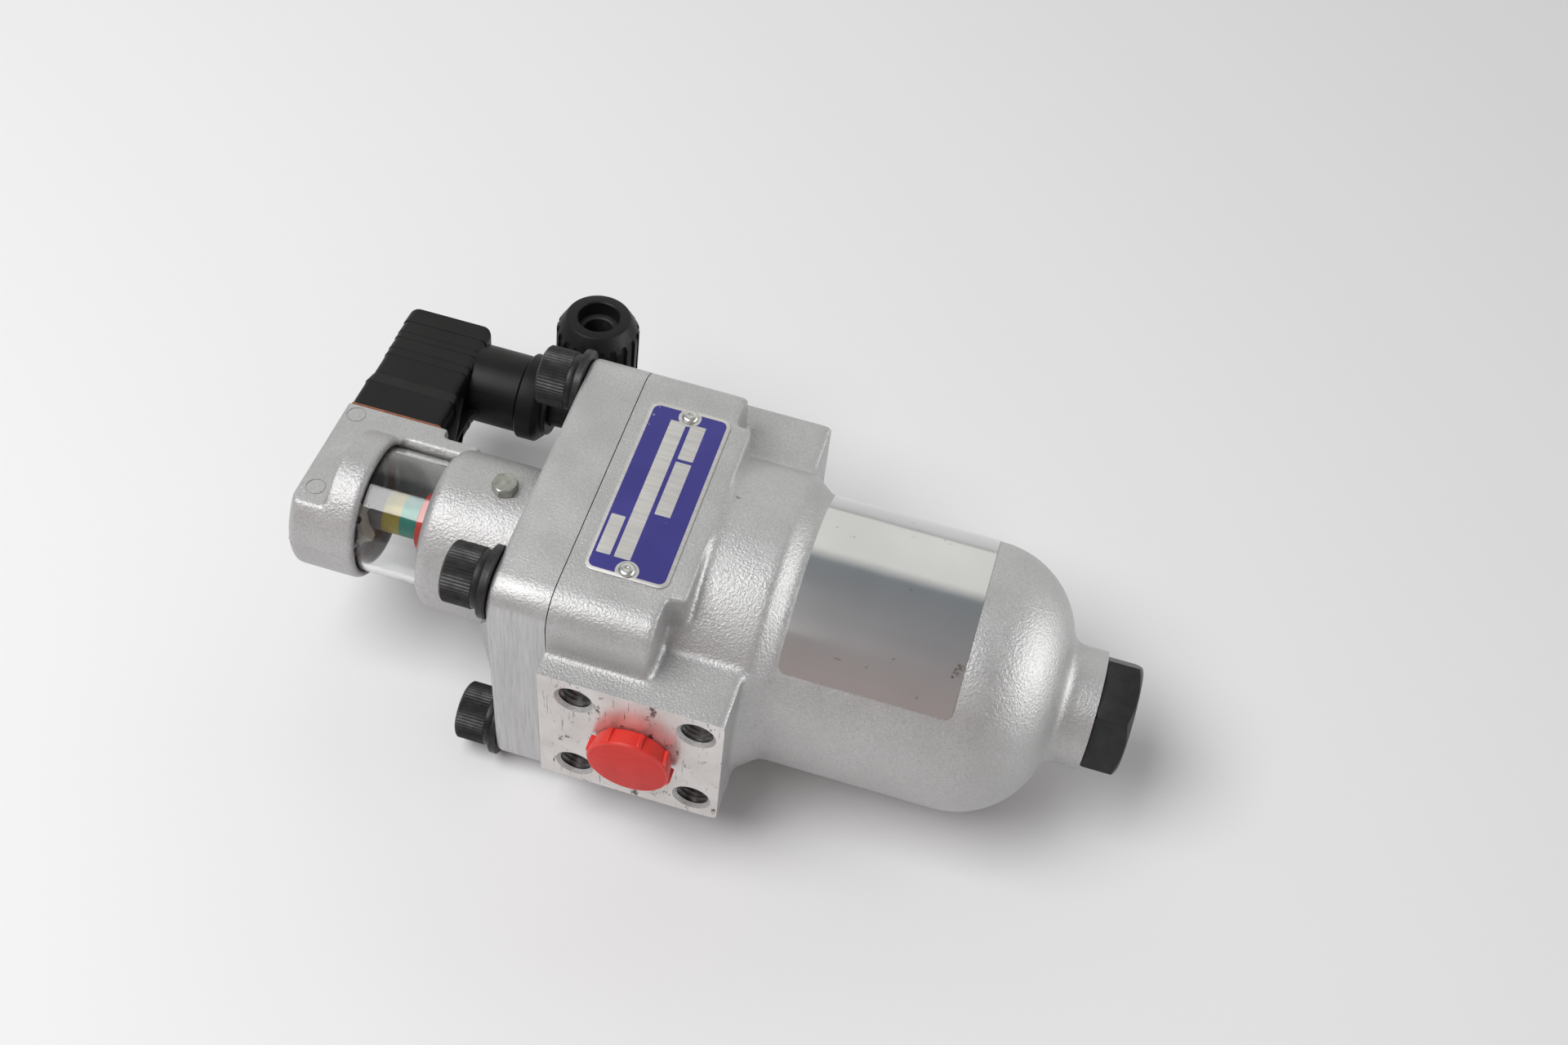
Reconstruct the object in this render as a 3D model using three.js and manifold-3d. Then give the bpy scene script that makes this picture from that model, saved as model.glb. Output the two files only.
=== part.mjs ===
// High pressure line filter: a cast body with two flanged ports, an end cover that carries a
// differential pressure indicator, and a switch connector with an angled cable gland.
// Millimetres, +Z up. X runs along the filter axis and is measured from the joint of body and
// cover; the whole filter is then shifted so that the origin lies where the port axis crosses it.
import * as THREE from "three";
import { mergeVertices } from "three/addons/utils/BufferGeometryUtils.js";
import Module from "manifold-3d";

const wasm = await Module();
wasm.setup();

// Fits and mesh fineness
const clearance = 0.3;
const film_gap = 0.1;
const overrun = 4;
const weld_distance = 1e-4;
const barrel_sides = 36;
const cavity_sides = 24;
const round_sides = 24;
const small_sides = 12;
const corner_steps = 3;
const dome_steps = 5;
const hole_sides = 6;
const ring_section_sides = 6;
const coil_steps_per_turn = 8;
const coil_section_sides = 5;
const sector_steps = 8;

// Cast body
const block_width = 96;
const block_height = 92;
const block_corner = 10;
const block_length = 30;
const block_edge = 3;
const pad_width = 64;
const pad_length = 35.3;
const pad_depth = 24;
const barrel_radius = 45.3;
const barrel_length = 55.5;
const flare_length = 7;
const flare_shoulder = 3.1;
const flare_shoulder_radius = 43.9;
const bowl_radius = 41;
const bowl_end = 115;
const dome_radius = 28;
const drain_boss_radius = 18;
const drain_boss_fillet = 4;
const body_end = 153;
const drain_boss_edge = 0.8;

// Body cavity
const cover_bore_radius = 36;
const cover_bore_depth = 9;
const chamber_radius = 34;
const seat_radius = 29;
const seat_start = 45;
const seat_length = 7;
const bowl_wall = 8;
const drain_bore_radius = 10.5;
const drain_seal_recess_radius = 13.2;
const drain_seal_recess_depth = 2.4;

// Ports
const port_axis_x = 28.7;
const port_face_span = 111.7;
const port_boss_start = 0.5;
const port_boss_end = 54.7;
const port_boss_height = 53.6;
const port_boss_edge = 1.5;
const port_bore_radius = 8.5;
const port_bore_depth = 13;
const flange_pitch = 36;
const flange_thread_radius = 4.8;
const flange_thread_depth = 17;
const flange_rim_radius = 5.9;
const flange_rim_depth = 1.1;
const inlet_duct_width = 17;
const inlet_duct_depth = 4.5;
const inlet_duct_end = 53.6;
const inlet_window_length = 2;

// Port caps
const cap_rim_radius = 12.4;
const cap_proud = 6.1;
const cap_flange = 1.2;
const cap_tab_count = 8;
const cap_tab_width = 1.9;
const cap_tab_proud = 0.6;
const cap_tab_gap = 0.8;
const cap_stem_length = 8;
const cap_stem_wall = 1.4;
const cap_tab_turn_share = 0.32;

// Cover plate and its screws
const cover_thickness = 18;
const cover_edge = 2;
const cover_spigot_length = 7;
const cover_ring_groove_depth = 2.8;
const cover_ring_groove_width = 3;
const cover_ring_groove_start = 2.4;
const cover_screw_pitch = 76;
const cover_screw_thread_radius = 6;
const cover_screw_head_radius = 9;
const cover_screw_head_height = 11.6;
const cover_screw_reach = 20;
const cover_screw_socket_flats = 10;
const cover_screw_socket_depth = 6;
const cover_screw_edge = 1.1;
const spring_washer_radius = 10.75;
const spring_washer_thickness = 2.4;
const spring_washer_gap = 1.6;
const sensing_boss_height = 4;
const sensing_boss_top_z = 16;
const sensing_boss_bottom_z = -15;
const sensing_boss_knee_z = -5;
const sensing_boss_knee_height = 1;
const sensing_boss_outer_y = -43;
const sensing_boss_inner_y = -20;
const cover_tap_radius = 13;
const cover_tap_depth = 13;
const cover_bleed_radius = 4;

// Nameplate and label
const plate_length = 62.9;
const plate_breadth = 24.6;
const plate_thickness = 0.6;
const plate_corner = 3;
const plate_centre_x = 16.7;
const plate_centre_y = 0.9;
const rivet_spread = 57.5;
const rivet_centre_y = 0.75;
const rivet_head_radius = 2.4;
const rivet_head_height = 1.2;
const rivet_shank_radius = 1.1;
const rivet_shank_length = 6;
const rivet_shoulder_height_share = 0.6;
const rivet_shoulder_radius_share = 0.8;
const rivet_crown_radius_share = 0.4;
const label_start = 62.8;
const label_end = 113.5;
const label_thickness = 0.25;
const label_front_angle = 52;
const label_back_angle = -95;

// Drain plug
const drain_plug_flats = 32;
const drain_plug_head_length = 10.7;
const drain_plug_edge = 1.6;
const drain_plug_shank_length = 14;
const drain_plug_turn = 8;
const drain_ring_wire = 1.05;

// Filter element
const element_flange_radius = 31;
const element_flange_thickness = 3.6;
const element_sleeve_end = 51;
const element_ring_wire = 1.1;
const element_ring_x = 48;
const element_outlet_radius = 11;
const media_start = 51.4;
const media_end = 118;
const media_outer_radius = 27;
const media_inner_radius = 15.4;
const media_ply = 3.2;
const media_pleats = 36;
const core_tube_radius = 13.4;
const core_tube_wall = 1;
const core_tube_hole_radius = 2.6;
const core_tube_hole_rows = 4;
const core_tube_holes_around = 4;
const lower_cap_radius = 27.6;
const lower_cap_thickness = 3;
const lower_cap_skirt = 4;
const element_spring_radius = 20;
const element_spring_wire = 3;
const element_spring_turns = 4;

// Indicator: turned a little about the filter axis
const indicator_turn = 5.5;
const neck_radius = 25;
const neck_end = 54.6;
const neck_edge = 4;
const glass_radius = 19.8;
const glass_wall = 2;
const glass_seat = 5;
const head_radius = 22.5;
const head_start = 71.5;
const collar_end = 82.3;
const head_end = 93;
const head_half_height = 14.5;
const head_corner = 3;
const flange_face_y = 25.5;
const flange_start = 60;
const housing_back_end = 50.6;
const housing_back_y = 22.4;
const switch_room_radius = 16;
const switch_room_end = 89;
const switch_room_half_height = 11.5;
const wire_way_width = 10;
const wire_way_start = 79;
const wire_way_end = 87;

// Indicator core, tube, piston and ring
const core_radius = 19.6;
const core_end = 44.5;
const core_shoulder_radius = 15.5;
const core_shoulder_end = 49.5;
const core_spigot_radius = 12.7;
const core_spigot_length = 12;
const core_bleed_radius = 3.5;
const core_groove_depth = 2.3;
const core_groove_width = 4.8;
const tube_radius = 6.5;
const tube_wall = 1.3;
const tube_end = 84;
const tube_root = 30;
const ring_outer_radius = 9;
const ring_length = 4.8;
const ring_start = 52.7;
const piston_start = 40;
const piston_wire = 0.9;
const piston_spring_radius = 3.6;
const piston_spring_turns = 6;
const glass_seal_thickness = 1.8;

// Switch inside the glass
const switch_plate_thickness = 1.4;
const switch_plate_x = 77.6;
const switch_body_length = 9;
const switch_body_width = 6.4;
const switch_body_height = 12;
const switch_body_y = -10.4;
const lever_thickness = 1.1;
const lever_x = 73.2;
const lever_pivot_z = 7.5;
const lever_tip_z = -5.5;
const lever_nose_z = -1.5;
const lever_ear_thickness = 0.8;
const lever_ear_height = 2.4;
const lever_inner_y = -7.2;
const lever_outer_y = -11.8;
const lever_reach = 3.4;
const lever_pin_radius = 0.7;
const switch_screw_radius = 2;
const switch_screw_height = 1.6;
const switch_screw_y = -9.6;
const switch_screw_z = -8.8;
const switch_screw_shank_radius = 0.9;
const switch_screw_crown_share = 0.7;
const housing_screw_x = 31.4;
const housing_screw_flats = 7;
const housing_screw_turn = 20;
const housing_screw_height = 3;
const housing_screw_shank_radius = 2;

// Connector
const connector_centre_x = 77.4;
const connector_width = 29.6;
const connector_height = 28.2;
const connector_end_y = 74.5;
const connector_corner = 3.5;
const connector_wall = 2.2;
const connector_base_y = 37.6;
const connector_bevel_y = 42;
const connector_step = 0.9;
const connector_end_wall = 3.4;
const gasket_thickness = 0.8;
const gasket_rim = 3.6;
const pin_base_thickness = 2.8;
const pin_spread = 9;
const pin_width = 6.3;
const pin_thickness = 0.8;
const pin_length = 11;
const insert_length = 20;
const insert_wall_gap = 0.4;
const connector_screw_radius = 1.4;
const connector_screw_head_radius = 3.2;
const connector_screw_head_height = 2;
const connector_screw_slot = 0.9;
const grip_groove_count = 3;
const grip_groove_pitch = 8.4;
const grip_groove_depth = 0.4;
const grip_groove_width = 3.5;
const grip_groove_start_y = 51.8;

// Cable gland
const gland_axis_y = 62.3;
const gland_stub_radius = 12.7;
const gland_stub_end = 48;
const gland_bore_radius = 9;
const gland_ring_radius = 14.1;
const gland_ring_start = 47.4;
const gland_ring_end = 40.5;
const gland_ring_chamfer = 2.2;
const gland_collar_radius = 11;
const gland_collar_end = 38.6;
const elbow_axis_x = 24.3;
const elbow_neck_radius = 7.6;
const elbow_body_radius = 8.6;
const elbow_bore_radius = 4.6;
const elbow_inner_x = 56;
const elbow_bottom_z = -9;
const elbow_shoulder_z = 15;
const elbow_thread_radius = 8.2;
const elbow_top_z = 29;
const nut_bottom_z = 15.4;
const nut_top_z = 43;
const nut_radius = 12.9;
const nut_rib_count = 20;
const nut_rib_depth = 0.8;
const nut_cone_height = 5.4;
const nut_top_radius = 9.8;
const nut_mouth_radius = 6.5;
const nut_mouth_depth = 4.6;
const gland_seal_bore_radius = 4.7;

// A geometry as a closed solid that can be joined and cut
function solid(geometry) {
  const bare = geometry.index ? geometry.toNonIndexed() : geometry.clone();
  bare.deleteAttribute("normal");
  bare.deleteAttribute("uv");
  const merged = mergeVertices(bare, weld_distance);
  const corners = merged.index.array;
  const kept = [];
  for (let i = 0; i < corners.length; i += 3) {
    const [a, b, c] = [corners[i], corners[i + 1], corners[i + 2]];
    if (a !== b && b !== c && c !== a) kept.push(a, b, c);
  }
  const mesh = new wasm.Mesh({
    numProp: 3,
    vertProperties: merged.attributes.position.array,
    triVerts: new Uint32Array(kept),
  });
  return new wasm.Manifold(mesh);
}

// Several solids as one
function join(first, ...others) {
  return others.reduce((whole, other) => whole.add(other), first);
}

// A solid with others taken out of it
function cut(first, ...others) {
  return others.reduce((whole, other) => whole.subtract(other), first);
}

// A solid as a named mesh with its finish
function piece(name, shape, colour, roughness, metalness) {
  const { numProp, numVert, vertProperties, triVerts } = shape.getMesh();
  const places = new Float32Array(numVert * 3);
  for (let i = 0; i < numVert; i++) {
    places.set(vertProperties.subarray(i * numProp, i * numProp + 3), i * 3);
  }
  const geometry = new THREE.BufferGeometry();
  geometry.setAttribute("position", new THREE.BufferAttribute(places, 3));
  geometry.setIndex(new THREE.BufferAttribute(triVerts, 1));
  geometry.computeVertexNormals();
  const material = new THREE.MeshStandardMaterial({ color: colour, roughness, metalness });
  const mesh = new THREE.Mesh(geometry, material);
  mesh.name = name;
  return mesh;
}

// A profile of [along, radius] points revolved about an axis, closed and facing out
function revolved(points, sides, axis) {
  const loop = points.map(([along, radius]) => new THREE.Vector2(radius, along));
  const touches_axis = loop[0].x === 0 && loop.at(-1).x === 0;
  if (!touches_axis) loop.push(loop[0].clone());
  if (THREE.ShapeUtils.area(loop) < 0) loop.reverse();
  const geometry = new THREE.LatheGeometry(loop, sides);
  if (axis === "x") geometry.rotateZ(-Math.PI / 2);
  if (axis === "z") geometry.rotateX(Math.PI / 2);
  return solid(geometry);
}

// A straight round bar between two places on an axis
function bar(axis, from, to, radius, sides) {
  const [low, high] = [Math.min(from, to), Math.max(from, to)];
  return revolved([[low, 0], [low, radius], [high, radius], [high, 0]], sides, axis);
}

// A ring of round section about an axis
function torus(axis, along, radius, wire, sides) {
  const points = Array.from({ length: ring_section_sides }, (_, i) => {
    const angle = (i / ring_section_sides) * 2 * Math.PI;
    return [along + wire * Math.sin(angle), radius + wire * Math.cos(angle)];
  });
  return revolved(points, sides, axis);
}

// A box given by its limits
function box(x0, x1, y0, y1, z0, z1) {
  const geometry = new THREE.BoxGeometry(x1 - x0, y1 - y0, z1 - z0);
  return solid(geometry.translate((x0 + x1) / 2, (y0 + y1) / 2, (z0 + z1) / 2));
}

// A rectangle with round corners, centred
function rounded_outline(width, height, corner) {
  const [x, y] = [width / 2, height / 2];
  const shape = new THREE.Shape();
  shape.absarc(x - corner, y - corner, corner, 0, Math.PI / 2);
  shape.absarc(corner - x, y - corner, corner, Math.PI / 2, Math.PI);
  shape.absarc(corner - x, corner - y, corner, Math.PI, 1.5 * Math.PI);
  shape.absarc(x - corner, corner - y, corner, 1.5 * Math.PI, 2 * Math.PI);
  return shape;
}

// An outline pushed along an axis from one place to another, with an optional edge chamfer
function pushed(shape, axis, from, to, edge = 0) {
  const geometry = new THREE.ExtrudeGeometry(shape, {
    depth: to - from - 2 * edge,
    bevelEnabled: edge > 0,
    bevelThickness: edge,
    bevelSize: edge,
    bevelOffset: -edge,
    bevelSegments: 2,
    curveSegments: corner_steps,
  });
  geometry.translate(0, 0, from + edge);
  const ex = new THREE.Vector3(1, 0, 0);
  const ey = new THREE.Vector3(0, 1, 0);
  const ez = new THREE.Vector3(0, 0, 1);
  const frames = { x: [ey, ez, ex], y: [ez, ex, ey], z: [ex, ey, ez] };
  return solid(geometry.applyMatrix4(new THREE.Matrix4().makeBasis(...frames[axis])));
}

// A closed outline through points
function outline(points) {
  return new THREE.Shape(points.map(([a, b]) => new THREE.Vector2(a, b)));
}

// A six-sided outline with a given width across its flats
function hexagon(flats, turn) {
  const radius = flats / Math.sqrt(3);
  return outline(Array.from({ length: 6 }, (_, i) => {
    const angle = THREE.MathUtils.degToRad(turn + 60 * i);
    return [radius * Math.cos(angle), radius * Math.sin(angle)];
  }));
}

// Points along an arc of a profile, from one angle to another, in degrees
function arc(centre_along, centre_radius, radius, from, to, steps) {
  return Array.from({ length: steps + 1 }, (_, i) => {
    const angle = THREE.MathUtils.degToRad(from + ((to - from) * i) / steps);
    return [centre_along + radius * Math.cos(angle), centre_radius + radius * Math.sin(angle)];
  });
}

// A coil spring along X from its formula; it also reports the least gap between its turns
function coil(name, mean_radius, wire, turns, from, to) {
  const wire_radius = wire / 2;
  const steps = Math.round(turns * coil_steps_per_turn);
  const rise = (to - from - wire) / steps;
  const rings = Array.from({ length: steps + 1 }, (_, i) => {
    const angle = (i / coil_steps_per_turn) * 2 * Math.PI;
    const outward = new THREE.Vector3(0, Math.cos(angle), Math.sin(angle));
    const along = new THREE.Vector3(1, 0, 0);
    const centre = outward.clone().multiplyScalar(mean_radius);
    centre.x = from + wire_radius + i * rise;
    return Array.from({ length: coil_section_sides }, (_, j) => {
      const around = (j / coil_section_sides) * 2 * Math.PI;
      const offset = outward.clone().multiplyScalar(Math.cos(around));
      offset.addScaledVector(along, Math.sin(around));
      return centre.clone().addScaledVector(offset, wire_radius);
    });
  });
  const gap = least_turn_gap(rings);
  console.log(name + ": least gap between turns " + gap.toFixed(2) + " mm");
  return solid(tube_through(rings));
}

// The least distance between points of a coil that lie a turn apart
function least_turn_gap(rings) {
  let least = Infinity;
  for (let i = 0; i + coil_steps_per_turn < rings.length; i++) {
    for (const near of rings[i]) {
      for (const far of rings[i + coil_steps_per_turn]) {
        least = Math.min(least, near.distanceTo(far));
      }
    }
  }
  return least;
}

// A closed tube through rings of points, with flat ends
function tube_through(rings) {
  const sides = rings[0].length;
  const places = rings.flat().flatMap((p) => [p.x, p.y, p.z]);
  const faces = [];
  for (let i = 0; i + 1 < rings.length; i++) {
    for (let j = 0; j < sides; j++) {
      const [a, b] = [i * sides + j, i * sides + ((j + 1) % sides)];
      faces.push(a, b + sides, b, a, a + sides, b + sides);
    }
  }
  const last = (rings.length - 1) * sides;
  for (let j = 1; j + 1 < sides; j++) {
    faces.push(0, j, j + 1, last, last + j + 1, last + j);
  }
  const geometry = new THREE.BufferGeometry();
  geometry.setAttribute("position", new THREE.Float32BufferAttribute(places, 3));
  geometry.setIndex(faces);
  return geometry;
}

const silver_paint = 0xb9bab8;
const bare_iron = 0xc3bfb9;
const black_steel = 0x1d1d1e;
const rubber_black = 0x161616;
const cast_aluminium = 0xa9aaac;
const black_plastic = 0x18191b;
const red_plastic = 0xd8281f;
const blue_foil = 0x2a2c86;
const spring_steel = 0x8f9194;
const brass = 0xb59a55;

const filter = new THREE.Group();
filter.name = "line_filter";
filter.position.x = -port_axis_x;

// Places that several pieces share
const port_face_y = port_face_span / 2;
const block_top_z = block_height / 2;
const cover_face_x = -cover_thickness;
const screw_places = [[1, 1], [-1, 1], [-1, -1], [1, -1]].map(([y, z]) => {
  return [(y * cover_screw_pitch) / 2, (z * cover_screw_pitch) / 2];
});
const rivet_places = [1, -1].map((side) => rivet_centre_y + (side * rivet_spread) / 2);
const block_outline = rounded_outline(block_width, block_height, block_corner);

// The outer profile of barrel, flare, bowl, domed end and drain boss
function body_profile() {
  const dome_centre_radius = bowl_radius - dome_radius;
  const fillet_centre_radius = drain_boss_radius + drain_boss_fillet;
  const centre_distance = dome_radius + drain_boss_fillet;
  const meet = Math.asin((fillet_centre_radius - dome_centre_radius) / centre_distance);
  const meet_degrees = THREE.MathUtils.radToDeg(meet);
  const fillet_centre_x = bowl_end + centre_distance * Math.cos(meet);
  const fillet_start = 180 + meet_degrees;
  const boss_fillet = arc(
    fillet_centre_x, fillet_centre_radius, drain_boss_fillet, fillet_start, 270, corner_steps);
  return [
    [0, 0],
    [0, barrel_radius],
    [barrel_length, barrel_radius],
    [barrel_length + flare_shoulder, flare_shoulder_radius],
    [barrel_length + flare_length, bowl_radius],
    ...arc(bowl_end, dome_centre_radius, dome_radius, 90, meet_degrees, dome_steps),
    ...boss_fillet.slice(1),
    [body_end - drain_boss_edge, drain_boss_radius],
    [body_end, drain_boss_radius - drain_boss_edge],
    [body_end, 0],
  ];
}

// The hollow inside the body: cover bore, clean chamber, element seat, bowl and drain
function cavity_profile() {
  const bowl_bore = bowl_radius - bowl_wall;
  const inner_dome_radius = dome_radius - bowl_wall;
  const inner_dome_centre = bowl_radius - dome_radius;
  const recess_start = body_end - drain_seal_recess_depth;
  return [
    [-overrun, 0],
    [-overrun, cover_bore_radius],
    [cover_bore_depth, cover_bore_radius],
    [cover_bore_depth, chamber_radius],
    [seat_start, chamber_radius],
    [seat_start, seat_radius],
    [seat_start + seat_length, seat_radius],
    [seat_start + seat_length, bowl_bore],
    ...arc(bowl_end, inner_dome_centre, inner_dome_radius, 90, 0, corner_steps),
    [bowl_end + inner_dome_radius, drain_bore_radius],
    [recess_start, drain_bore_radius],
    [recess_start, drain_seal_recess_radius],
    [body_end + overrun, drain_seal_recess_radius],
    [body_end + overrun, 0],
  ];
}

// The four tapped holes of a port flange, on the side given by its sign
function flange_holes(side) {
  const holes = [];
  for (const x of [-1, 1]) {
    for (const z of [-1, 1]) {
      const profile = [
        [port_face_y - flange_thread_depth, 0],
        [port_face_y - flange_thread_depth, flange_thread_radius],
        [port_face_y - flange_rim_depth, flange_thread_radius],
        [port_face_y, flange_rim_radius],
        [port_face_y + overrun, flange_rim_radius],
        [port_face_y + overrun, 0],
      ].map(([along, radius]) => [side * along, radius]);
      const place = [port_axis_x + (x * flange_pitch) / 2, 0, (z * flange_pitch) / 2];
      holes.push(revolved(profile, small_sides, "y").translate(place));
    }
  }
  return holes;
}

// Body casting with its machined faces, ports and tapped holes
function body_casting() {
  const boss_outline = rounded_outline(port_face_span, port_boss_height, port_boss_edge);
  const block = pushed(block_outline, "x", -block_edge, block_length, block_edge);
  const pad_outline = rounded_outline(pad_width, pad_depth, block_edge);
  const pad_raise = block_top_z - pad_depth / 2;
  const cast = join(
    revolved(body_profile(), barrel_sides, "x"),
    cut(block, box(-overrun, 0, -block_width, block_width, -block_height, block_height)),
    pushed(boss_outline, "x", port_boss_start, port_boss_end),
    pushed(pad_outline, "x", clearance, pad_length).translate([0, 0, pad_raise]),
  );
  const inlet_floor_y = -port_face_y + port_bore_depth;
  const outlet = bar("y", 0, port_face_y + overrun, port_bore_radius, small_sides);
  const inlet = bar("y", -port_face_y - overrun, inlet_floor_y, port_bore_radius, small_sides);
  const duct_half = inlet_duct_width / 2;
  const duct_start = port_axis_x - duct_half;
  const duct_inner_y = inlet_floor_y + inlet_duct_depth;
  const duct = box(duct_start, inlet_duct_end, inlet_floor_y, duct_inner_y, -duct_half, duct_half);
  const window_start = seat_start + seat_length;
  const window_end = window_start + inlet_window_length;
  const window_y = -(bowl_radius - bowl_wall) + overrun;
  const opening = box(window_start, window_end, inlet_floor_y, window_y, -duct_half, duct_half);
  const screw_holes = screw_places.map(([y, z]) => {
    const radius = cover_screw_thread_radius + clearance;
    const depth = cover_screw_reach + 2 * clearance;
    return bar("x", -overrun, depth, radius, small_sides).translate([0, y, z]);
  });
  const rivet_holes = rivet_places.map((y) => {
    const radius = rivet_shank_radius + clearance;
    const floor_z = block_top_z - rivet_shank_length;
    return bar("z", floor_z, block_top_z + overrun, radius, small_sides)
      .translate([plate_centre_x, y, 0]);
  });
  return cut(
    cast,
    revolved(cavity_profile(), cavity_sides, "x"),
    outlet.translate([port_axis_x, 0, 0]),
    inlet.translate([port_axis_x, 0, 0]),
    duct,
    opening,
    ...screw_holes,
    ...flange_holes(1),
    ...flange_holes(-1),
    ...rivet_holes,
  );
}
filter.add(piece("body_casting", body_casting(), silver_paint, 0.45, 0.6));

// Cover plate: spigot with seal groove, screw holes, tapped centre and the sensing boss
function cover_plate() {
  const back_x = -clearance;
  const slab = pushed(block_outline, "x", cover_face_x, cover_edge, cover_edge);
  const plate = cut(slab, box(back_x, overrun, -block_width, block_width, -block_height, block_height));
  const spigot_radius = cover_bore_radius - clearance;
  const groove_radius = spigot_radius - cover_ring_groove_depth;
  const groove_end = cover_ring_groove_start + cover_ring_groove_width;
  const spigot = revolved([
    [-cover_edge, 0],
    [-cover_edge, spigot_radius],
    [cover_ring_groove_start, spigot_radius],
    [cover_ring_groove_start, groove_radius],
    [groove_end, groove_radius],
    [groove_end, spigot_radius],
    [cover_spigot_length, spigot_radius],
    [cover_spigot_length, 0],
  ], cavity_sides, "x");
  const boss_outline = outline([
    [sensing_boss_top_z, cover_face_x + cover_edge],
    [sensing_boss_top_z - cover_edge, cover_face_x - sensing_boss_height],
    [sensing_boss_knee_z, cover_face_x - sensing_boss_knee_height],
    [sensing_boss_bottom_z, cover_face_x],
    [sensing_boss_bottom_z, cover_face_x + cover_edge],
  ].reverse());
  const boss = pushed(boss_outline, "y", sensing_boss_outer_y, sensing_boss_inner_y);
  const neck_room = bar("x", -neck_end, cover_face_x, neck_radius + clearance, barrel_sides);
  const tap_floor_x = cover_face_x + cover_tap_depth;
  const screw_holes = screw_places.map(([y, z]) => {
    const radius = cover_screw_thread_radius + 2 * clearance;
    return bar("x", cover_face_x - overrun, overrun, radius, small_sides).translate([0, y, z]);
  });
  return cut(
    join(plate, spigot, cut(boss, neck_room)),
    bar("x", cover_face_x - overrun, tap_floor_x, cover_tap_radius, round_sides),
    bar("x", cover_face_x, cover_spigot_length + overrun, cover_bleed_radius, small_sides),
    ...screw_holes,
  );
}
filter.add(piece("cover_plate", cover_plate(), silver_paint, 0.4, 0.65));

const cover_ring_x = cover_ring_groove_start + cover_ring_groove_width / 2;
const cover_ring_wire = cover_ring_groove_depth / 2 - clearance;
const cover_ring_radius = cover_bore_radius - film_gap - cover_ring_wire;
const cover_ring = torus("x", cover_ring_x, cover_ring_radius, cover_ring_wire, cavity_sides);
filter.add(piece("cover_o_ring", cover_ring, rubber_black, 0.6, 0));

// A cover screw about X, its head to the left, with a hexagon socket
function cover_screw(seat_x) {
  const top_x = seat_x - cover_screw_head_height;
  const blank = revolved([
    [top_x, 0],
    [top_x, cover_screw_head_radius - cover_screw_edge],
    [top_x + cover_screw_edge, cover_screw_head_radius],
    [seat_x, cover_screw_head_radius],
    [seat_x, cover_screw_thread_radius],
    [cover_screw_reach, cover_screw_thread_radius],
    [cover_screw_reach, 0],
  ], round_sides, "x");
  const socket = hexagon(cover_screw_socket_flats, 0);
  const socket_floor = top_x + cover_screw_socket_depth;
  return cut(blank, pushed(socket, "x", top_x - overrun, socket_floor));
}

// A split spring washer about X
function spring_washer(seat_x) {
  const bore_radius = cover_screw_thread_radius + clearance;
  const face_x = seat_x - spring_washer_thickness;
  const ring = revolved([
    [seat_x, bore_radius],
    [seat_x, spring_washer_radius],
    [face_x, spring_washer_radius],
    [face_x, bore_radius],
  ], round_sides, "x");
  const half_gap = spring_washer_gap / 2;
  const reach = spring_washer_radius + overrun;
  return cut(ring, box(face_x - overrun, seat_x + overrun, -half_gap, half_gap, 0, reach));
}

const washer_seat_x = cover_face_x - film_gap;
const head_seat_x = washer_seat_x - spring_washer_thickness - film_gap;
screw_places.forEach(([y, z], i) => {
  const screw = piece("cover_screw_" + (i + 1), cover_screw(head_seat_x), black_steel, 0.45, 0.5);
  const washer = piece("spring_washer_" + (i + 1), spring_washer(washer_seat_x), black_steel, 0.4, 0.5);
  screw.position.set(0, y, z);
  washer.position.set(0, y, z);
  filter.add(screw, washer);
});

// A pull-out port cap about Y: a ribbed rim round a recess, and a hollow stem
function port_cap() {
  const top_y = cap_proud;
  const stem_radius = port_bore_radius - clearance;
  const bore_radius = stem_radius - cap_stem_wall;
  const shell = revolved([
    [top_y, 0],
    [top_y, cap_rim_radius - cap_flange / 2],
    [top_y - cap_flange / 2, cap_rim_radius],
    [film_gap, cap_rim_radius - cap_flange / 2],
    [film_gap, stem_radius],
    [-cap_stem_length, stem_radius - cap_flange / 2],
    [-cap_stem_length, bore_radius - cap_flange / 2],
    [top_y - cap_stem_wall, bore_radius],
    [top_y - cap_stem_wall, 0],
  ], round_sides, "y");
  const tabs = Array.from({ length: cap_tab_count }, (_, i) => {
    const inner = cap_rim_radius - cap_flange;
    const outer = cap_rim_radius + cap_tab_proud;
    const half = cap_tab_width / 2;
    const tab = box(inner, outer, cap_tab_gap, top_y - cap_tab_gap, -half, half);
    return tab.rotate([0, (360 * (i + cap_tab_turn_share)) / cap_tab_count, 0]);
  });
  return join(shell, ...tabs);
}
for (const [name, side] of [["front_port_cap", -1], ["rear_port_cap", 1]]) {
  const cap = piece(name, port_cap(), red_plastic, 0.45, 0);
  cap.position.set(port_axis_x, side * port_face_y, 0);
  if (side < 0) cap.rotation.z = Math.PI;
  filter.add(cap);
}

// Nameplate with its rivet holes, and the two rivets
function nameplate() {
  const blank = rounded_outline(plate_breadth, plate_length, plate_corner);
  const low_z = block_top_z + film_gap;
  const sheet = pushed(blank, "z", low_z, low_z + plate_thickness);
  const holes = rivet_places.map((y) => {
    const radius = rivet_shank_radius + clearance;
    return bar("z", block_top_z - overrun, block_top_z + overrun, radius, small_sides)
      .translate([plate_centre_x, y, 0]);
  });
  return cut(sheet.translate([plate_centre_x, plate_centre_y, 0]), ...holes);
}
filter.add(piece("nameplate", nameplate(), blue_foil, 0.35, 0.2));

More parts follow.
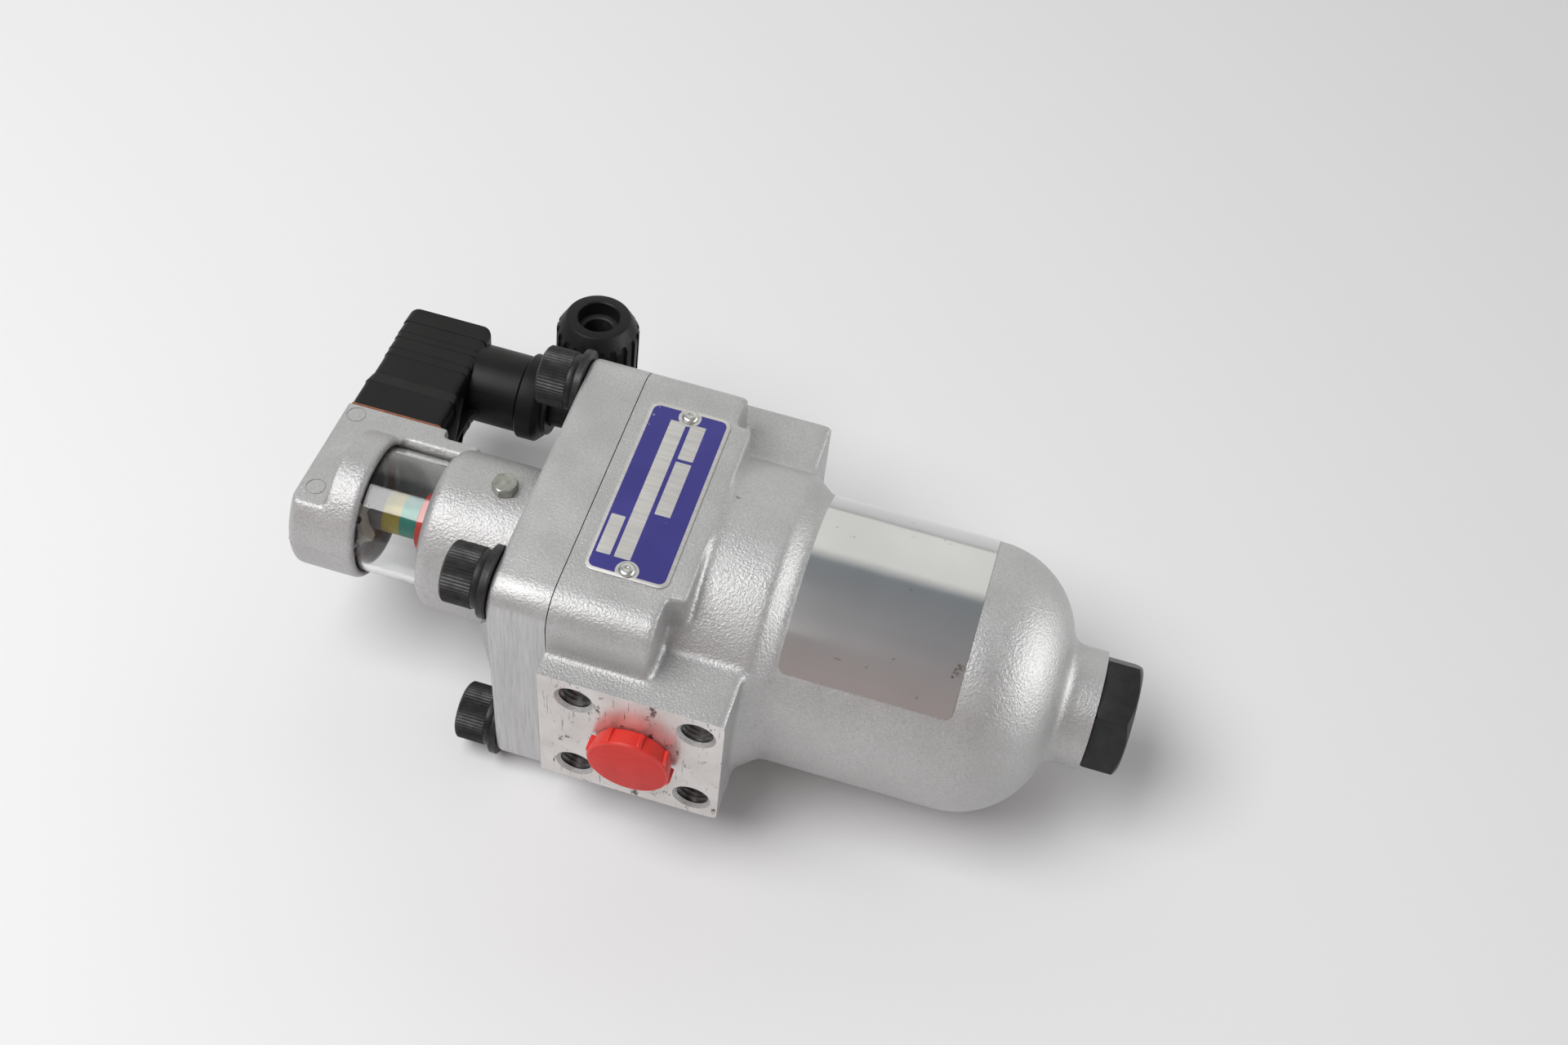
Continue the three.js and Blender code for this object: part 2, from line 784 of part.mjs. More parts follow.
const rivet_seat_z = block_top_z + plate_thickness + 2 * film_gap;
const rivet_shoulder_height = rivet_head_height * rivet_shoulder_height_share;
const rivet_shoulder_radius = rivet_head_radius * rivet_shoulder_radius_share;
const rivet_crown_radius = rivet_head_radius * rivet_crown_radius_share;
rivet_places.forEach((y, i) => {
  const rivet = revolved([
    [block_top_z - rivet_shank_length + clearance, 0],
    [block_top_z - rivet_shank_length + clearance, rivet_shank_radius],
    [rivet_seat_z, rivet_shank_radius],
    [rivet_seat_z, rivet_head_radius],
    [rivet_seat_z + rivet_shoulder_height, rivet_shoulder_radius],
    [rivet_seat_z + rivet_head_height, rivet_crown_radius],
    [rivet_seat_z + rivet_head_height, 0],
  ], small_sides, "z");
  const mesh = piece("nameplate_rivet_" + (i + 1), rivet, bare_iron, 0.35, 0.8);
  mesh.position.set(plate_centre_x, y, 0);
  filter.add(mesh);
});

// Foil label wrapped round the bowl between two angles from straight up
function bowl_label() {
  const inner = bowl_radius + film_gap;
  const outer = inner + label_thickness;
  const tube = cut(
    bar("x", label_start, label_end, outer, barrel_sides),
    bar("x", label_start - overrun, label_end + overrun, inner, barrel_sides),
  );
  const reach = 2 * bowl_radius;
  const sector = [[0, 0]];
  for (let i = 0; i <= sector_steps; i++) {
    const turn = label_back_angle + ((label_front_angle - label_back_angle) * i) / sector_steps;
    const angle = THREE.MathUtils.degToRad(90 + turn);
    sector.push([reach * Math.cos(angle), reach * Math.sin(angle)]);
  }
  return tube.intersect(pushed(outline(sector), "x", label_start - overrun, label_end + overrun));
}
filter.add(piece("bowl_label", bowl_label(), 0xd7dadd, 0.3, 0.4));

// Drain plug: a hexagon with a chamfered rim on a threaded shank
function drain_plug() {
  const face_x = body_end + clearance;
  const end_x = face_x + drain_plug_head_length;
  const corner_radius = drain_plug_flats / Math.sqrt(3);
  const flat_radius = drain_plug_flats / 2;
  const hex = pushed(hexagon(drain_plug_flats, drain_plug_turn), "x", face_x, end_x);
  const round = revolved([
    [face_x, 0],
    [face_x, corner_radius],
    [end_x - drain_plug_edge, corner_radius],
    [end_x, flat_radius - drain_plug_edge / 2],
    [end_x, 0],
  ], barrel_sides, "x");
  const shank_radius = drain_bore_radius - clearance;
  const shank = bar("x", body_end - drain_plug_shank_length, face_x + overrun, shank_radius, round_sides);
  return join(hex.intersect(round), shank);
}
filter.add(piece("drain_plug", drain_plug(), black_steel, 0.4, 0.4));
const drain_ring_x = body_end - drain_ring_wire - film_gap;
const drain_ring_radius = drain_bore_radius + drain_ring_wire + film_gap;
const drain_ring = torus("x", drain_ring_x, drain_ring_radius, drain_ring_wire, round_sides);
filter.add(piece("drain_plug_o_ring", drain_ring, rubber_black, 0.6, 0));

// Filter element: flanged upper cap, seal, pleated media, perforated tube and closed lower cap
function element_upper_cap() {
  const sleeve_radius = seat_radius - clearance;
  const flange_face = seat_start - clearance;
  const groove_radius = sleeve_radius - 2 * element_ring_wire;
  const groove_half = element_ring_wire + clearance;
  return revolved([
    [flange_face - element_flange_thickness, element_outlet_radius],
    [flange_face - element_flange_thickness, element_flange_radius],
    [flange_face, element_flange_radius],
    [flange_face, sleeve_radius],
    [element_ring_x - groove_half, sleeve_radius],
    [element_ring_x - groove_half, groove_radius],
    [element_ring_x + groove_half, groove_radius],
    [element_ring_x + groove_half, sleeve_radius],
    [element_sleeve_end, sleeve_radius],
    [element_sleeve_end, element_outlet_radius],
  ], cavity_sides, "x");
}
filter.add(piece("element_upper_cap", element_upper_cap(), spring_steel, 0.4, 0.7));
const element_ring_radius = seat_radius - film_gap - element_ring_wire;
const element_ring = torus("x", element_ring_x, element_ring_radius, element_ring_wire, cavity_sides);
filter.add(piece("element_o_ring", element_ring, rubber_black, 0.6, 0));

// Pleated media as a zigzag sheet closed into a star
function element_media() {
  const corners = media_pleats * 2;
  const zigzag = (outer, inner) => Array.from({ length: corners }, (_, i) => {
    const angle = (i / corners) * 2 * Math.PI;
    const radius = i % 2 ? inner : outer;
    return [radius * Math.cos(angle), radius * Math.sin(angle)];
  });
  const shape = outline(zigzag(media_outer_radius, media_inner_radius + media_ply));
  shape.holes.push(outline(zigzag(media_outer_radius - media_ply, media_inner_radius).reverse()));
  return pushed(shape, "x", media_start, media_end);
}
filter.add(piece("element_media", element_media(), 0xe8e0c8, 0.9, 0));

function element_core_tube() {
  const tube = revolved([
    [media_start, core_tube_radius - core_tube_wall],
    [media_start, core_tube_radius],
    [media_end, core_tube_radius],
    [media_end, core_tube_radius - core_tube_wall],
  ], round_sides, "x");
  const row_pitch = (media_end - media_start) / core_tube_hole_rows;
  const holes = [];
  for (let row = 0; row < core_tube_hole_rows; row++) {
    const x = media_start + (row + 0.5) * row_pitch;
    for (let i = 0; i < core_tube_holes_around; i++) {
      const turn = (360 * (i + (row % 2) / 2)) / core_tube_holes_around;
      const hole = bar("y", 0, core_tube_radius + overrun, core_tube_hole_radius, hole_sides);
      holes.push(hole.rotate([turn, 0, 0]).translate([x, 0, 0]));
    }
  }
  return cut(tube, ...holes);
}
filter.add(piece("element_core_tube", element_core_tube(), spring_steel, 0.4, 0.8));

const lower_cap_x = media_end + clearance;
const lower_cap_skirt_radius = media_outer_radius + clearance;
const lower_cap = revolved([
  [lower_cap_x, 0],
  [lower_cap_x, lower_cap_skirt_radius],
  [lower_cap_x - lower_cap_skirt, lower_cap_skirt_radius],
  [lower_cap_x - lower_cap_skirt, lower_cap_radius + clearance],
  [lower_cap_x + lower_cap_thickness, lower_cap_radius + clearance],
  [lower_cap_x + lower_cap_thickness, 0],
], cavity_sides, "x");
filter.add(piece("element_lower_cap", lower_cap, spring_steel, 0.4, 0.7));
const element_spring_start = cover_spigot_length + clearance;
const element_spring_end = seat_start - element_flange_thickness - 2 * clearance;
const element_spring = coil(
  "element_spring",
  element_spring_radius,
  element_spring_wire,
  element_spring_turns,
  element_spring_start,
  element_spring_end,
);
filter.add(piece("element_spring", element_spring, spring_steel, 0.4, 0.8));

// Everything below lies in the indicator's own frame, where x runs to the left of the cover
const indicator = new THREE.Group();
indicator.rotation.x = THREE.MathUtils.degToRad(-indicator_turn);
filter.add(indicator);
const housing_foot = cover_thickness + clearance;
const glass_room_radius = glass_radius + clearance;
const glass_start = core_end + glass_seal_thickness + 2 * clearance;
const glass_end = head_start + glass_seat - glass_seal_thickness - clearance;
const window_half_x = connector_width / 2 - gasket_rim;
const window_half_z = connector_height / 2 - gasket_rim + clearance;

// A box in the indicator's frame, with x given as distances to the left
function left_box(x_near, x_far, y0, y1, z0, z1) {
  return box(-x_far, -x_near, y0, y1, z0, z1);
}

// A revolved shape in the indicator's frame, with x given as distances to the left
function left_turned(points, sides) {
  return revolved(points.map(([left, radius]) => [-left, radius]), sides, "x");
}

// Indicator housing: a neck and a head joined by a back bridge, open round the glass
function indicator_housing() {
  const neck = left_turned([
    [housing_foot, 0],
    [housing_foot, neck_radius],
    ...arc(neck_end - neck_edge, neck_radius - neck_edge, neck_edge, 90, 0, corner_steps),
    [neck_end, 0],
  ], barrel_sides);
  const head_blank = left_turned([
    [head_start, 0],
    [head_start, head_radius - head_corner / 2],
    [head_start + head_corner / 2, head_radius],
    [head_end - head_corner, head_radius],
    [head_end, head_radius - head_corner],
    [head_end, 0],
  ], barrel_sides);
  const flat_limits = left_box(
    collar_end, head_end + overrun, -head_radius, head_radius, -head_half_height, head_half_height);
  const collar_limits = left_box(
    head_start - overrun, collar_end, -head_radius, head_radius, -head_radius, head_radius);
  const head = head_blank.intersect(join(flat_limits, collar_limits));
  const plate_depth = flange_face_y;
  const plate = left_box(flange_start, head_end, 0, plate_depth, -head_half_height, head_half_height);
  const bridge = left_box(
    housing_back_end, flange_start, 0, housing_back_y, -head_half_height, head_half_height);
  const glass_room = left_turned([
    [housing_foot - overrun, 0],
    [housing_foot - overrun, glass_room_radius],
    [head_start + glass_seat, glass_room_radius],
    [head_start + glass_seat, 0],
  ], barrel_sides);
  const room_limits = left_box(
    head_start, switch_room_end,
    -head_radius, head_radius,
    -switch_room_half_height, switch_room_half_height);
  const switch_room = left_turned([
    [head_start, 0],
    [head_start, switch_room_radius],
    [switch_room_end, switch_room_radius],
    [switch_room_end, 0],
  ], round_sides).intersect(room_limits);
  const half_way = wire_way_width / 2;
  const wire_way = left_box(wire_way_start, wire_way_end, 0, flange_face_y, -half_way, half_way);
  const pin_window = left_box(
    connector_centre_x - window_half_x, connector_centre_x + window_half_x,
    flange_face_y - pin_base_thickness - clearance, flange_face_y + overrun,
    -window_half_z, window_half_z);
  const screw_hole = bar("z", 0, neck_radius + overrun, housing_screw_shank_radius + clearance, small_sides);
  return cut(
    join(neck, head, plate, bridge),
    glass_room,
    switch_room,
    wire_way,
    pin_window,
    screw_hole.translate([-housing_screw_x, 0, 0]),
  );
}
indicator.add(piece("indicator_housing", indicator_housing(), cast_aluminium, 0.4, 0.8));

// Core that screws into the cover and carries tube, glass and housing; the groove takes the tip
// of the housing's set screw, so that the housing can be turned on the core before it is locked
function indicator_core() {
  const groove_radius = core_radius - core_groove_depth;
  const groove_half = core_groove_width / 2;
  const body = left_turned([
    [cover_thickness - core_spigot_length, 0],
    [cover_thickness - core_spigot_length, core_spigot_radius],
    [housing_foot, core_spigot_radius],
    [housing_foot, core_radius],
    [housing_screw_x - groove_half, core_radius],
    [housing_screw_x - groove_half, groove_radius],
    [housing_screw_x + groove_half, groove_radius],
    [housing_screw_x + groove_half, core_radius],
    [core_end, core_radius],
    [core_end, core_shoulder_radius],
    [core_shoulder_end, core_shoulder_radius],
    [core_shoulder_end, 0],
  ], round_sides);
  const tube_hole_end = -tube_root + clearance;
  const tube_hole_radius = tube_radius + clearance;
  const tube_hole = bar("x", -core_shoulder_end - overrun, tube_hole_end, tube_hole_radius, small_sides);
  const bleed = bar("x", -tube_root - overrun, 0, core_bleed_radius, small_sides);
  return cut(body, tube_hole, bleed);
}
indicator.add(piece("indicator_core", indicator_core(), spring_steel, 0.4, 0.8));

// Set screw that holds the housing on the core
function housing_screw() {
  const seat_z = neck_radius + film_gap;
  const top_z = seat_z + housing_screw_height;
  const tip_z = core_radius - core_groove_depth + clearance;
  const hex = pushed(hexagon(housing_screw_flats, housing_screw_turn), "z", seat_z, top_z);
  const shank = bar("z", tip_z, seat_z + clearance, housing_screw_shank_radius, small_sides);
  return join(hex, shank).translate([-housing_screw_x, 0, 0]);
}
indicator.add(piece("housing_screw", housing_screw(), 0xc9cabc, 0.3, 0.8));

const glass_inner_radius = glass_radius - glass_wall;
const glass = left_turned([
  [glass_start, glass_inner_radius],
  [glass_start, glass_radius],
  [glass_end, glass_radius],
  [glass_end, glass_inner_radius],
], barrel_sides);
indicator.add(piece("indicator_glass", glass, 0xe6edf0, 0.05, 0));

// The two flat seals at the glass ends
function glass_seal(from) {
  return left_turned([
    [from, glass_inner_radius - clearance],
    [from, glass_radius - clearance],
    [from + glass_seal_thickness, glass_radius - clearance],
    [from + glass_seal_thickness, glass_inner_radius - clearance],
  ], round_sides);
}
indicator.add(piece("glass_seal_cover_end", glass_seal(core_end + clearance), 0x6b4a35, 0.6, 0));
indicator.add(piece("glass_seal_head_end", glass_seal(glass_end + film_gap), 0x6b4a35, 0.6, 0));

// Pressure tube, closed at the far end, with the magnet piston and its spring inside
const tube_bore_radius = tube_radius - tube_wall;
const pressure_tube = left_turned([
  [tube_root, tube_bore_radius],
  [tube_root, tube_radius],
  [tube_end, tube_radius],
  [tube_end, 0],
  [tube_end - tube_wall, 0],
  [tube_end - tube_wall, tube_bore_radius],
], round_sides);
indicator.add(piece("indicator_tube", pressure_tube, 0x8d8f94, 0.5, 0.2));

const red_ring = left_turned([
  [ring_start, tube_radius + clearance],
  [ring_start, ring_outer_radius],
  [ring_start + ring_length, ring_outer_radius],
  [ring_start + ring_length, tube_radius + clearance],
], round_sides);
indicator.add(piece("indicator_ring", red_ring, red_plastic, 0.35, 0));

const piston_radius = tube_bore_radius - clearance;
const piston = bar("x", -piston_start, -ring_start + clearance, piston_radius, round_sides);
indicator.add(piece("indicator_piston", piston, brass, 0.35, 0.8));
const magnet_end = ring_start + ring_length;
const magnet = bar("x", -ring_start, -magnet_end, piston_radius, round_sides);
indicator.add(piece("indicator_magnet", magnet, 0x4b4d52, 0.4, 0.7));
const piston_spring_end = -tube_end + tube_wall + clearance;
const piston_spring_start = -magnet_end - clearance;
const piston_spring = coil(
  "indicator_spring",
  piston_spring_radius,
  piston_wire,
  piston_spring_turns,
  piston_spring_end,
  piston_spring_start,
);
indicator.add(piece("indicator_spring", piston_spring, spring_steel, 0.35, 0.8));

// Switch plate at the head end of the glass, with two ears that carry the lever's pin
const lever_pin_x = lever_x + lever_thickness / 2;
const lever_ear_y = [
  lever_outer_y - clearance - lever_ear_thickness / 2,
  lever_inner_y + clearance + lever_ear_thickness / 2,
];
function switch_plate() {
  const disc = left_turned([
    [switch_plate_x, tube_radius + clearance],
    [switch_plate_x, switch_room_radius - clearance],
    [switch_plate_x + switch_plate_thickness, switch_room_radius - clearance],
    [switch_plate_x + switch_plate_thickness, tube_radius + clearance],
  ], round_sides);
  const half_room = switch_room_half_height - clearance;
  const room = left_box(0, head_end, -head_radius, head_radius, -half_room, half_room);
  const half = lever_ear_thickness / 2;
  const half_height = lever_ear_height / 2;
  const ears = lever_ear_y.map((y) => left_box(
    lever_pin_x - half_height, switch_plate_x + clearance,
    y - half, y + half, lever_pivot_z - half_height, lever_pivot_z + half_height));
  const pin_hole = bar("y", -head_radius, 0, lever_pin_radius + clearance, small_sides);
  const screw_hole = bar("x", -head_end, 0, switch_screw_shank_radius + clearance, small_sides);
  return cut(
    join(disc.intersect(room), ...ears),
    pin_hole.translate([-lever_pin_x, 0, lever_pivot_z]),
    screw_hole.translate([0, switch_screw_y, switch_screw_z]),
  );
}
indicator.add(piece("switch_plate", switch_plate(), 0x2b2b2d, 0.5, 0.1));

const lever_pin_from = lever_ear_y[0] - lever_ear_thickness / 2;
const lever_pin_to = lever_ear_y[1] + lever_ear_thickness / 2;
const lever_pin = bar("y", lever_pin_from, lever_pin_to, lever_pin_radius, small_sides);
indicator.add(piece(
  "lever_pin", lever_pin.translate([-lever_pin_x, 0, lever_pivot_z]), spring_steel, 0.35, 0.8));

// Lever: a thin wedge that hangs from the pin, its nose just beyond the ring's last position
function switch_lever() {
  const hub_radius = lever_pin_radius + clearance + lever_thickness / 2;
  const hub = bar("y", lever_outer_y, lever_inner_y, hub_radius, small_sides);
  const blade = outline([
    [lever_pivot_z, -lever_x],
    [lever_pivot_z, -lever_x - lever_thickness],
    [lever_tip_z, -lever_x - lever_thickness],
    [lever_tip_z, -lever_x],
    [lever_nose_z, -lever_x + lever_reach],
  ]);
  const web = pushed(blade, "y", lever_outer_y, lever_inner_y);
  const hole = bar("y", lever_outer_y - overrun, 0, lever_pin_radius + clearance, small_sides);
  const place = [-lever_pin_x, 0, lever_pivot_z];
  return cut(join(hub.translate(place), web), hole.translate(place));
}
indicator.add(piece("switch_lever", switch_lever(), 0xe9e6dd, 0.4, 0));

const switch_body_x = switch_plate_x + switch_plate_thickness + clearance;
const half_switch = switch_body_width / 2;
const switch_body = left_box(
  switch_body_x, switch_body_x + switch_body_length,
  switch_body_y - half_switch, switch_body_y + half_switch,
  -switch_body_height / 2, switch_body_height / 2);
indicator.add(piece("switch_body", switch_body, 0x5a4632, 0.5, 0));

const switch_screw = left_turned([
  [switch_plate_x - film_gap - switch_screw_height, 0],
  [switch_plate_x - film_gap - switch_screw_height, switch_screw_radius * switch_screw_crown_share],
  [switch_plate_x - film_gap - switch_screw_height / 2, switch_screw_radius],
  [switch_plate_x - film_gap, switch_screw_radius],
  [switch_plate_x - film_gap, switch_screw_shank_radius],
  [switch_body_x + switch_screw_height, switch_screw_shank_radius],
  [switch_body_x + switch_screw_height, 0],
], small_sides).translate([0, switch_screw_y, switch_screw_z]);
indicator.add(piece("switch_screw", switch_screw, 0xb9b4a4, 0.3, 0.9));

// Each contact's name and place: distance from the centre along x or along z
const contact_places = [
  { name: "contact_1", x: pin_spread, z: 0 },
  { name: "contact_2", x: -pin_spread, z: 0 },
  { name: "contact_3", x: 0, z: -pin_spread },
  { name: "earth_contact", x: 0, z: pin_spread },
];

// Contact base let into the housing's flange, with three flat contacts and the earth contact
const pin_base_front_y = flange_face_y - film_gap;
const pin_base_back_y = flange_face_y - pin_base_thickness;
function contact_base() {
  const half_x = window_half_x - clearance;
  const half_z = window_half_z - clearance;
  const base = left_box(
    connector_centre_x - half_x, connector_centre_x + half_x,
    pin_base_back_y, pin_base_front_y, -half_z, half_z);
  const screw_radius = connector_screw_radius + clearance;
  const hole = bar("y", 0, connector_end_y, screw_radius, small_sides);
  const slots = contact_places.map((place) => contact_blade(place, 0, connector_end_y, clearance));
  return cut(base, hole.translate([-connector_centre_x, 0, 0]), ...slots);
}

// A flat blade along Y at a contact's place, with a margin all round for its slot
function contact_blade(place, from_y, to_y, margin) {
  const half_thick = pin_thickness / 2 + margin;
  const half_wide = pin_width / 2 + margin;
  const half_x = place.x === 0 ? half_wide : half_thick;
  const half_z = place.x === 0 ? half_thick : half_wide;
  const centre = connector_centre_x + place.x;
  return left_box(centre - half_x, centre + half_x, from_y, to_y, place.z - half_z, place.z + half_z);
}
indicator.add(piece("contact_base", contact_base(), black_plastic, 0.5, 0));
const contact_from_y = pin_base_back_y + film_gap;
const contact_to_y = contact_from_y + pin_length;
for (const place of contact_places) {
  const blade = contact_blade(place, contact_from_y, contact_to_y, 0);
  indicator.add(piece(place.name, blade, 0xb8b2a0, 0.3, 0.9));
}

// Flat gasket between the flange and the connector
const gasket_low_y = flange_face_y + film_gap;
const connector_foot_y = gasket_low_y + gasket_thickness + film_gap;
function connector_gasket() {
  const shape = rounded_outline(connector_height, connector_width, connector_corner / 2);
  const sheet = pushed(shape, "y", gasket_low_y, gasket_low_y + gasket_thickness);
  const window = left_box(
    -window_half_x, window_half_x, 0, connector_end_y, -window_half_z, window_half_z);
  return cut(sheet, window).translate([-connector_centre_x, 0, 0]);
}
indicator.add(piece("connector_gasket", connector_gasket(), 0x6a3d28, 0.7, 0));

// Connector housing: a box with a wider foot, round corners, grip grooves and the gland stub
function connector_housing() {
  const half_z = connector_height / 2;
  const upper_z = half_z - connector_step;
  const side_view = outline([
    [connector_foot_y, -half_z],
    [connector_base_y, -half_z],
    [connector_bevel_y, -upper_z],
    [connector_end_y, -upper_z],
    [connector_end_y, upper_z],
    [connector_bevel_y, upper_z],
    [connector_base_y, half_z],
    [connector_foot_y, half_z],
  ]);
  const half_x = connector_width / 2;
  const length = connector_end_y - connector_foot_y;
  const plan = rounded_outline(connector_width, 2 * length, connector_corner);
  const plan_block = pushed(plan, "z", -half_z, half_z).translate([0, connector_foot_y, 0]);
  const blank = pushed(side_view, "x", -half_x, half_x).intersect(plan_block);
  const inner_x = half_x - connector_wall;
  const inner_z = upper_z - connector_wall;
  const room_end_y = connector_end_y - connector_end_wall;
  const room = box(-inner_x, inner_x, 0, room_end_y, -inner_z, inner_z);
  const stub_start = half_x - connector_wall;
  const stub_reach = connector_centre_x - gland_stub_end;
  const stub = bar("x", stub_start, stub_reach, gland_stub_radius, round_sides);
  const bore = bar("x", 0, stub_reach + overrun, gland_bore_radius, round_sides);
  const screw_hole = bar("y", 0, connector_end_y + overrun, connector_screw_radius + clearance, small_sides);
  const head_floor_y = connector_end_y - connector_screw_head_height - clearance;
  const head_radius_room = connector_screw_head_radius + clearance;
  const head_room = bar("y", head_floor_y, connector_end_y + overrun, head_radius_room, small_sides);
  const grooves = [];
  const groove_half_x = half_x - 2 * connector_corner;
  for (let i = 0; i < grip_groove_count; i++) {
    const y0 = grip_groove_start_y + i * grip_groove_pitch;
    for (const side of [-1, 1]) {
      const [near, far] = [side * (upper_z - grip_groove_depth), side * (upper_z + overrun)];
      grooves.push(box(
        -groove_half_x, groove_half_x, y0, y0 + grip_groove_width, Math.min(near, far), Math.max(near, far)));
    }
  }
  return cut(
    join(blank, stub.translate([0, gland_axis_y, 0])),
    room,
    bore.translate([0, gland_axis_y, 0]),
    screw_hole,
    head_room,
    ...grooves,
  ).translate([-connector_centre_x, 0, 0]);
}
indicator.add(piece("connector_housing", connector_housing(), black_plastic, 0.5, 0));

// Terminal insert with a slot for each contact
function connector_insert() {
  const half_x = connector_width / 2 - connector_wall - insert_wall_gap;
  const half_z = connector_height / 2 - connector_step - connector_wall - insert_wall_gap;
  const start_y = connector_foot_y + clearance;
  const block = left_box(
    connector_centre_x - half_x, connector_centre_x + half_x,
    start_y, start_y + insert_length, -half_z, half_z);
  const slot_end_y = contact_to_y + clearance;
  const slots = contact_places.map((place) => contact_blade(place, 0, slot_end_y, clearance));
  const hole = bar("y", 0, connector_end_y, connector_screw_radius + clearance, small_sides);
  return cut(block, ...slots, hole.translate([-connector_centre_x, 0, 0]));
}
indicator.add(piece("connector_insert", connector_insert(), 0x3a3a3c, 0.5, 0));

// Long screw that holds the connector on the contact base
function connector_screw() {
  const head_low_y = connector_end_y - connector_screw_head_height;
  const shaft_from_y = pin_base_back_y + pin_base_thickness / 2;
  const shape = revolved([
    [shaft_from_y, 0],
    [shaft_from_y, connector_screw_radius],
    [head_low_y, connector_screw_radius],
    [head_low_y, connector_screw_head_radius],
    [connector_end_y, connector_screw_head_radius],
    [connector_end_y, 0],
  ], small_sides, "y");
  const half_slot = connector_screw_slot / 2;
  const slot_floor_y = connector_end_y - connector_screw_head_height / 2;
  const reach = connector_screw_head_radius + overrun;
  const slot = box(-reach, reach, slot_floor_y, connector_end_y + overrun, -half_slot, half_slot);
  return cut(shape, slot).translate([-connector_centre_x, 0, 0]);
}
indicator.add(piece("connector_screw", connector_screw(), 0xb8b8b4, 0.3, 0.9));

// Union ring that traps the elbow's flange against the stub
const gland_ring = left_turned([
  [gland_ring_start, elbow_neck_radius + clearance],
  [gland_ring_start, gland_ring_radius],
  [gland_ring_end + gland_ring_chamfer, gland_ring_radius],
  [gland_ring_end, gland_ring_radius - gland_ring_chamfer],
  [gland_ring_end, gland_collar_radius],
  [gland_collar_end, gland_collar_radius],
  [gland_collar_end, elbow_neck_radius + clearance],
], round_sides);
indicator.add(piece("gland_ring", gland_ring.translate([0, gland_axis_y, 0]), black_plastic, 0.45, 0));

// Elbow: a flanged neck along X and a threaded spout that points up
function gland_elbow() {
  const neck = left_turned([
    [elbow_axis_x, 0],
    [elbow_axis_x, elbow_neck_radius],
    [gland_stub_end + clearance, elbow_neck_radius],
    [gland_stub_end + clearance, gland_bore_radius - clearance],
    [elbow_inner_x, gland_bore_radius - clearance],
    [elbow_inner_x, 0],
  ], round_sides);
  const spout = revolved([
    [elbow_bottom_z, 0],
    [elbow_bottom_z, elbow_body_radius],
    [elbow_shoulder_z, elbow_body_radius],
    [elbow_shoulder_z, elbow_thread_radius],
    [elbow_top_z, elbow_thread_radius],
    [elbow_top_z, 0],
  ], round_sides, "z").translate([-elbow_axis_x, 0, 0]);
  const neck_bore = bar("x", -elbow_inner_x - overrun, -elbow_axis_x, elbow_bore_radius, small_sides);
  const spout_bore = bar("z", 0, elbow_top_z + overrun, elbow_bore_radius, small_sides);
  return cut(join(neck, spout), neck_bore, spout_bore.translate([-elbow_axis_x, 0, 0]));
}
indicator.add(piece("gland_elbow", gland_elbow().translate([0, gland_axis_y, 0]), black_plastic, 0.5, 0));

// Rubber seal on the elbow's spout
const seal_low_z = elbow_top_z + clearance;
const seal_high_z = nut_top_z - nut_mouth_depth - clearance;
const gland_seal = revolved([
  [seal_low_z, gland_seal_bore_radius],
  [seal_low_z, elbow_thread_radius],
  [seal_high_z, elbow_thread_radius],
  [seal_high_z, gland_seal_bore_radius],
], round_sides, "z").translate([-elbow_axis_x, gland_axis_y, 0]);
indicator.add(piece("gland_seal", gland_seal, rubber_black, 0.7, 0));

// Dome nut: ribbed barrel, cone and a smooth mouth
function dome_nut() {
  const cone_z = nut_top_z - nut_cone_height;
  const rib_turn = (2 * Math.PI) / nut_rib_count;
  const rib_shares = [0, 0.5, 0.5, 1];
  const rib_radii = [nut_radius, nut_radius, nut_radius - nut_rib_depth, nut_radius - nut_rib_depth];
  const points = [];
  for (let i = 0; i < nut_rib_count; i++) {
    rib_shares.forEach((share, j) => {
      const angle = (i + share) * rib_turn;
      points.push([rib_radii[j] * Math.cos(angle), rib_radii[j] * Math.sin(angle)]);
    });
  }
  const barrel = pushed(outline(points), "z", nut_bottom_z, cone_z);
  const cone = revolved([
    [cone_z - nut_rib_depth, 0],
    [cone_z - nut_rib_depth, nut_radius],
    [cone_z, nut_radius],
    [nut_top_z, nut_top_radius],
    [nut_top_z, 0],
  ], round_sides, "z");
  const bore_radius = elbow_thread_radius + clearance;
  const bore = bar("z", nut_bottom_z - overrun, nut_top_z - nut_mouth_depth, bore_radius, round_sides);
  const mouth = bar("z", 0, nut_top_z + overrun, nut_mouth_radius, round_sides);
  return cut(join(barrel, cone), bore, mouth);
}
indicator.add(piece(
  "dome_nut", dome_nut().translate([-elbow_axis_x, gland_axis_y, 0]), black_plastic, 0.5, 0));

export default filter;
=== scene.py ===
from math import asin, atan, copysign, cos, degrees, hypot, pi, radians, sin, sqrt

import bmesh
import bpy
from mathutils import Matrix, Vector


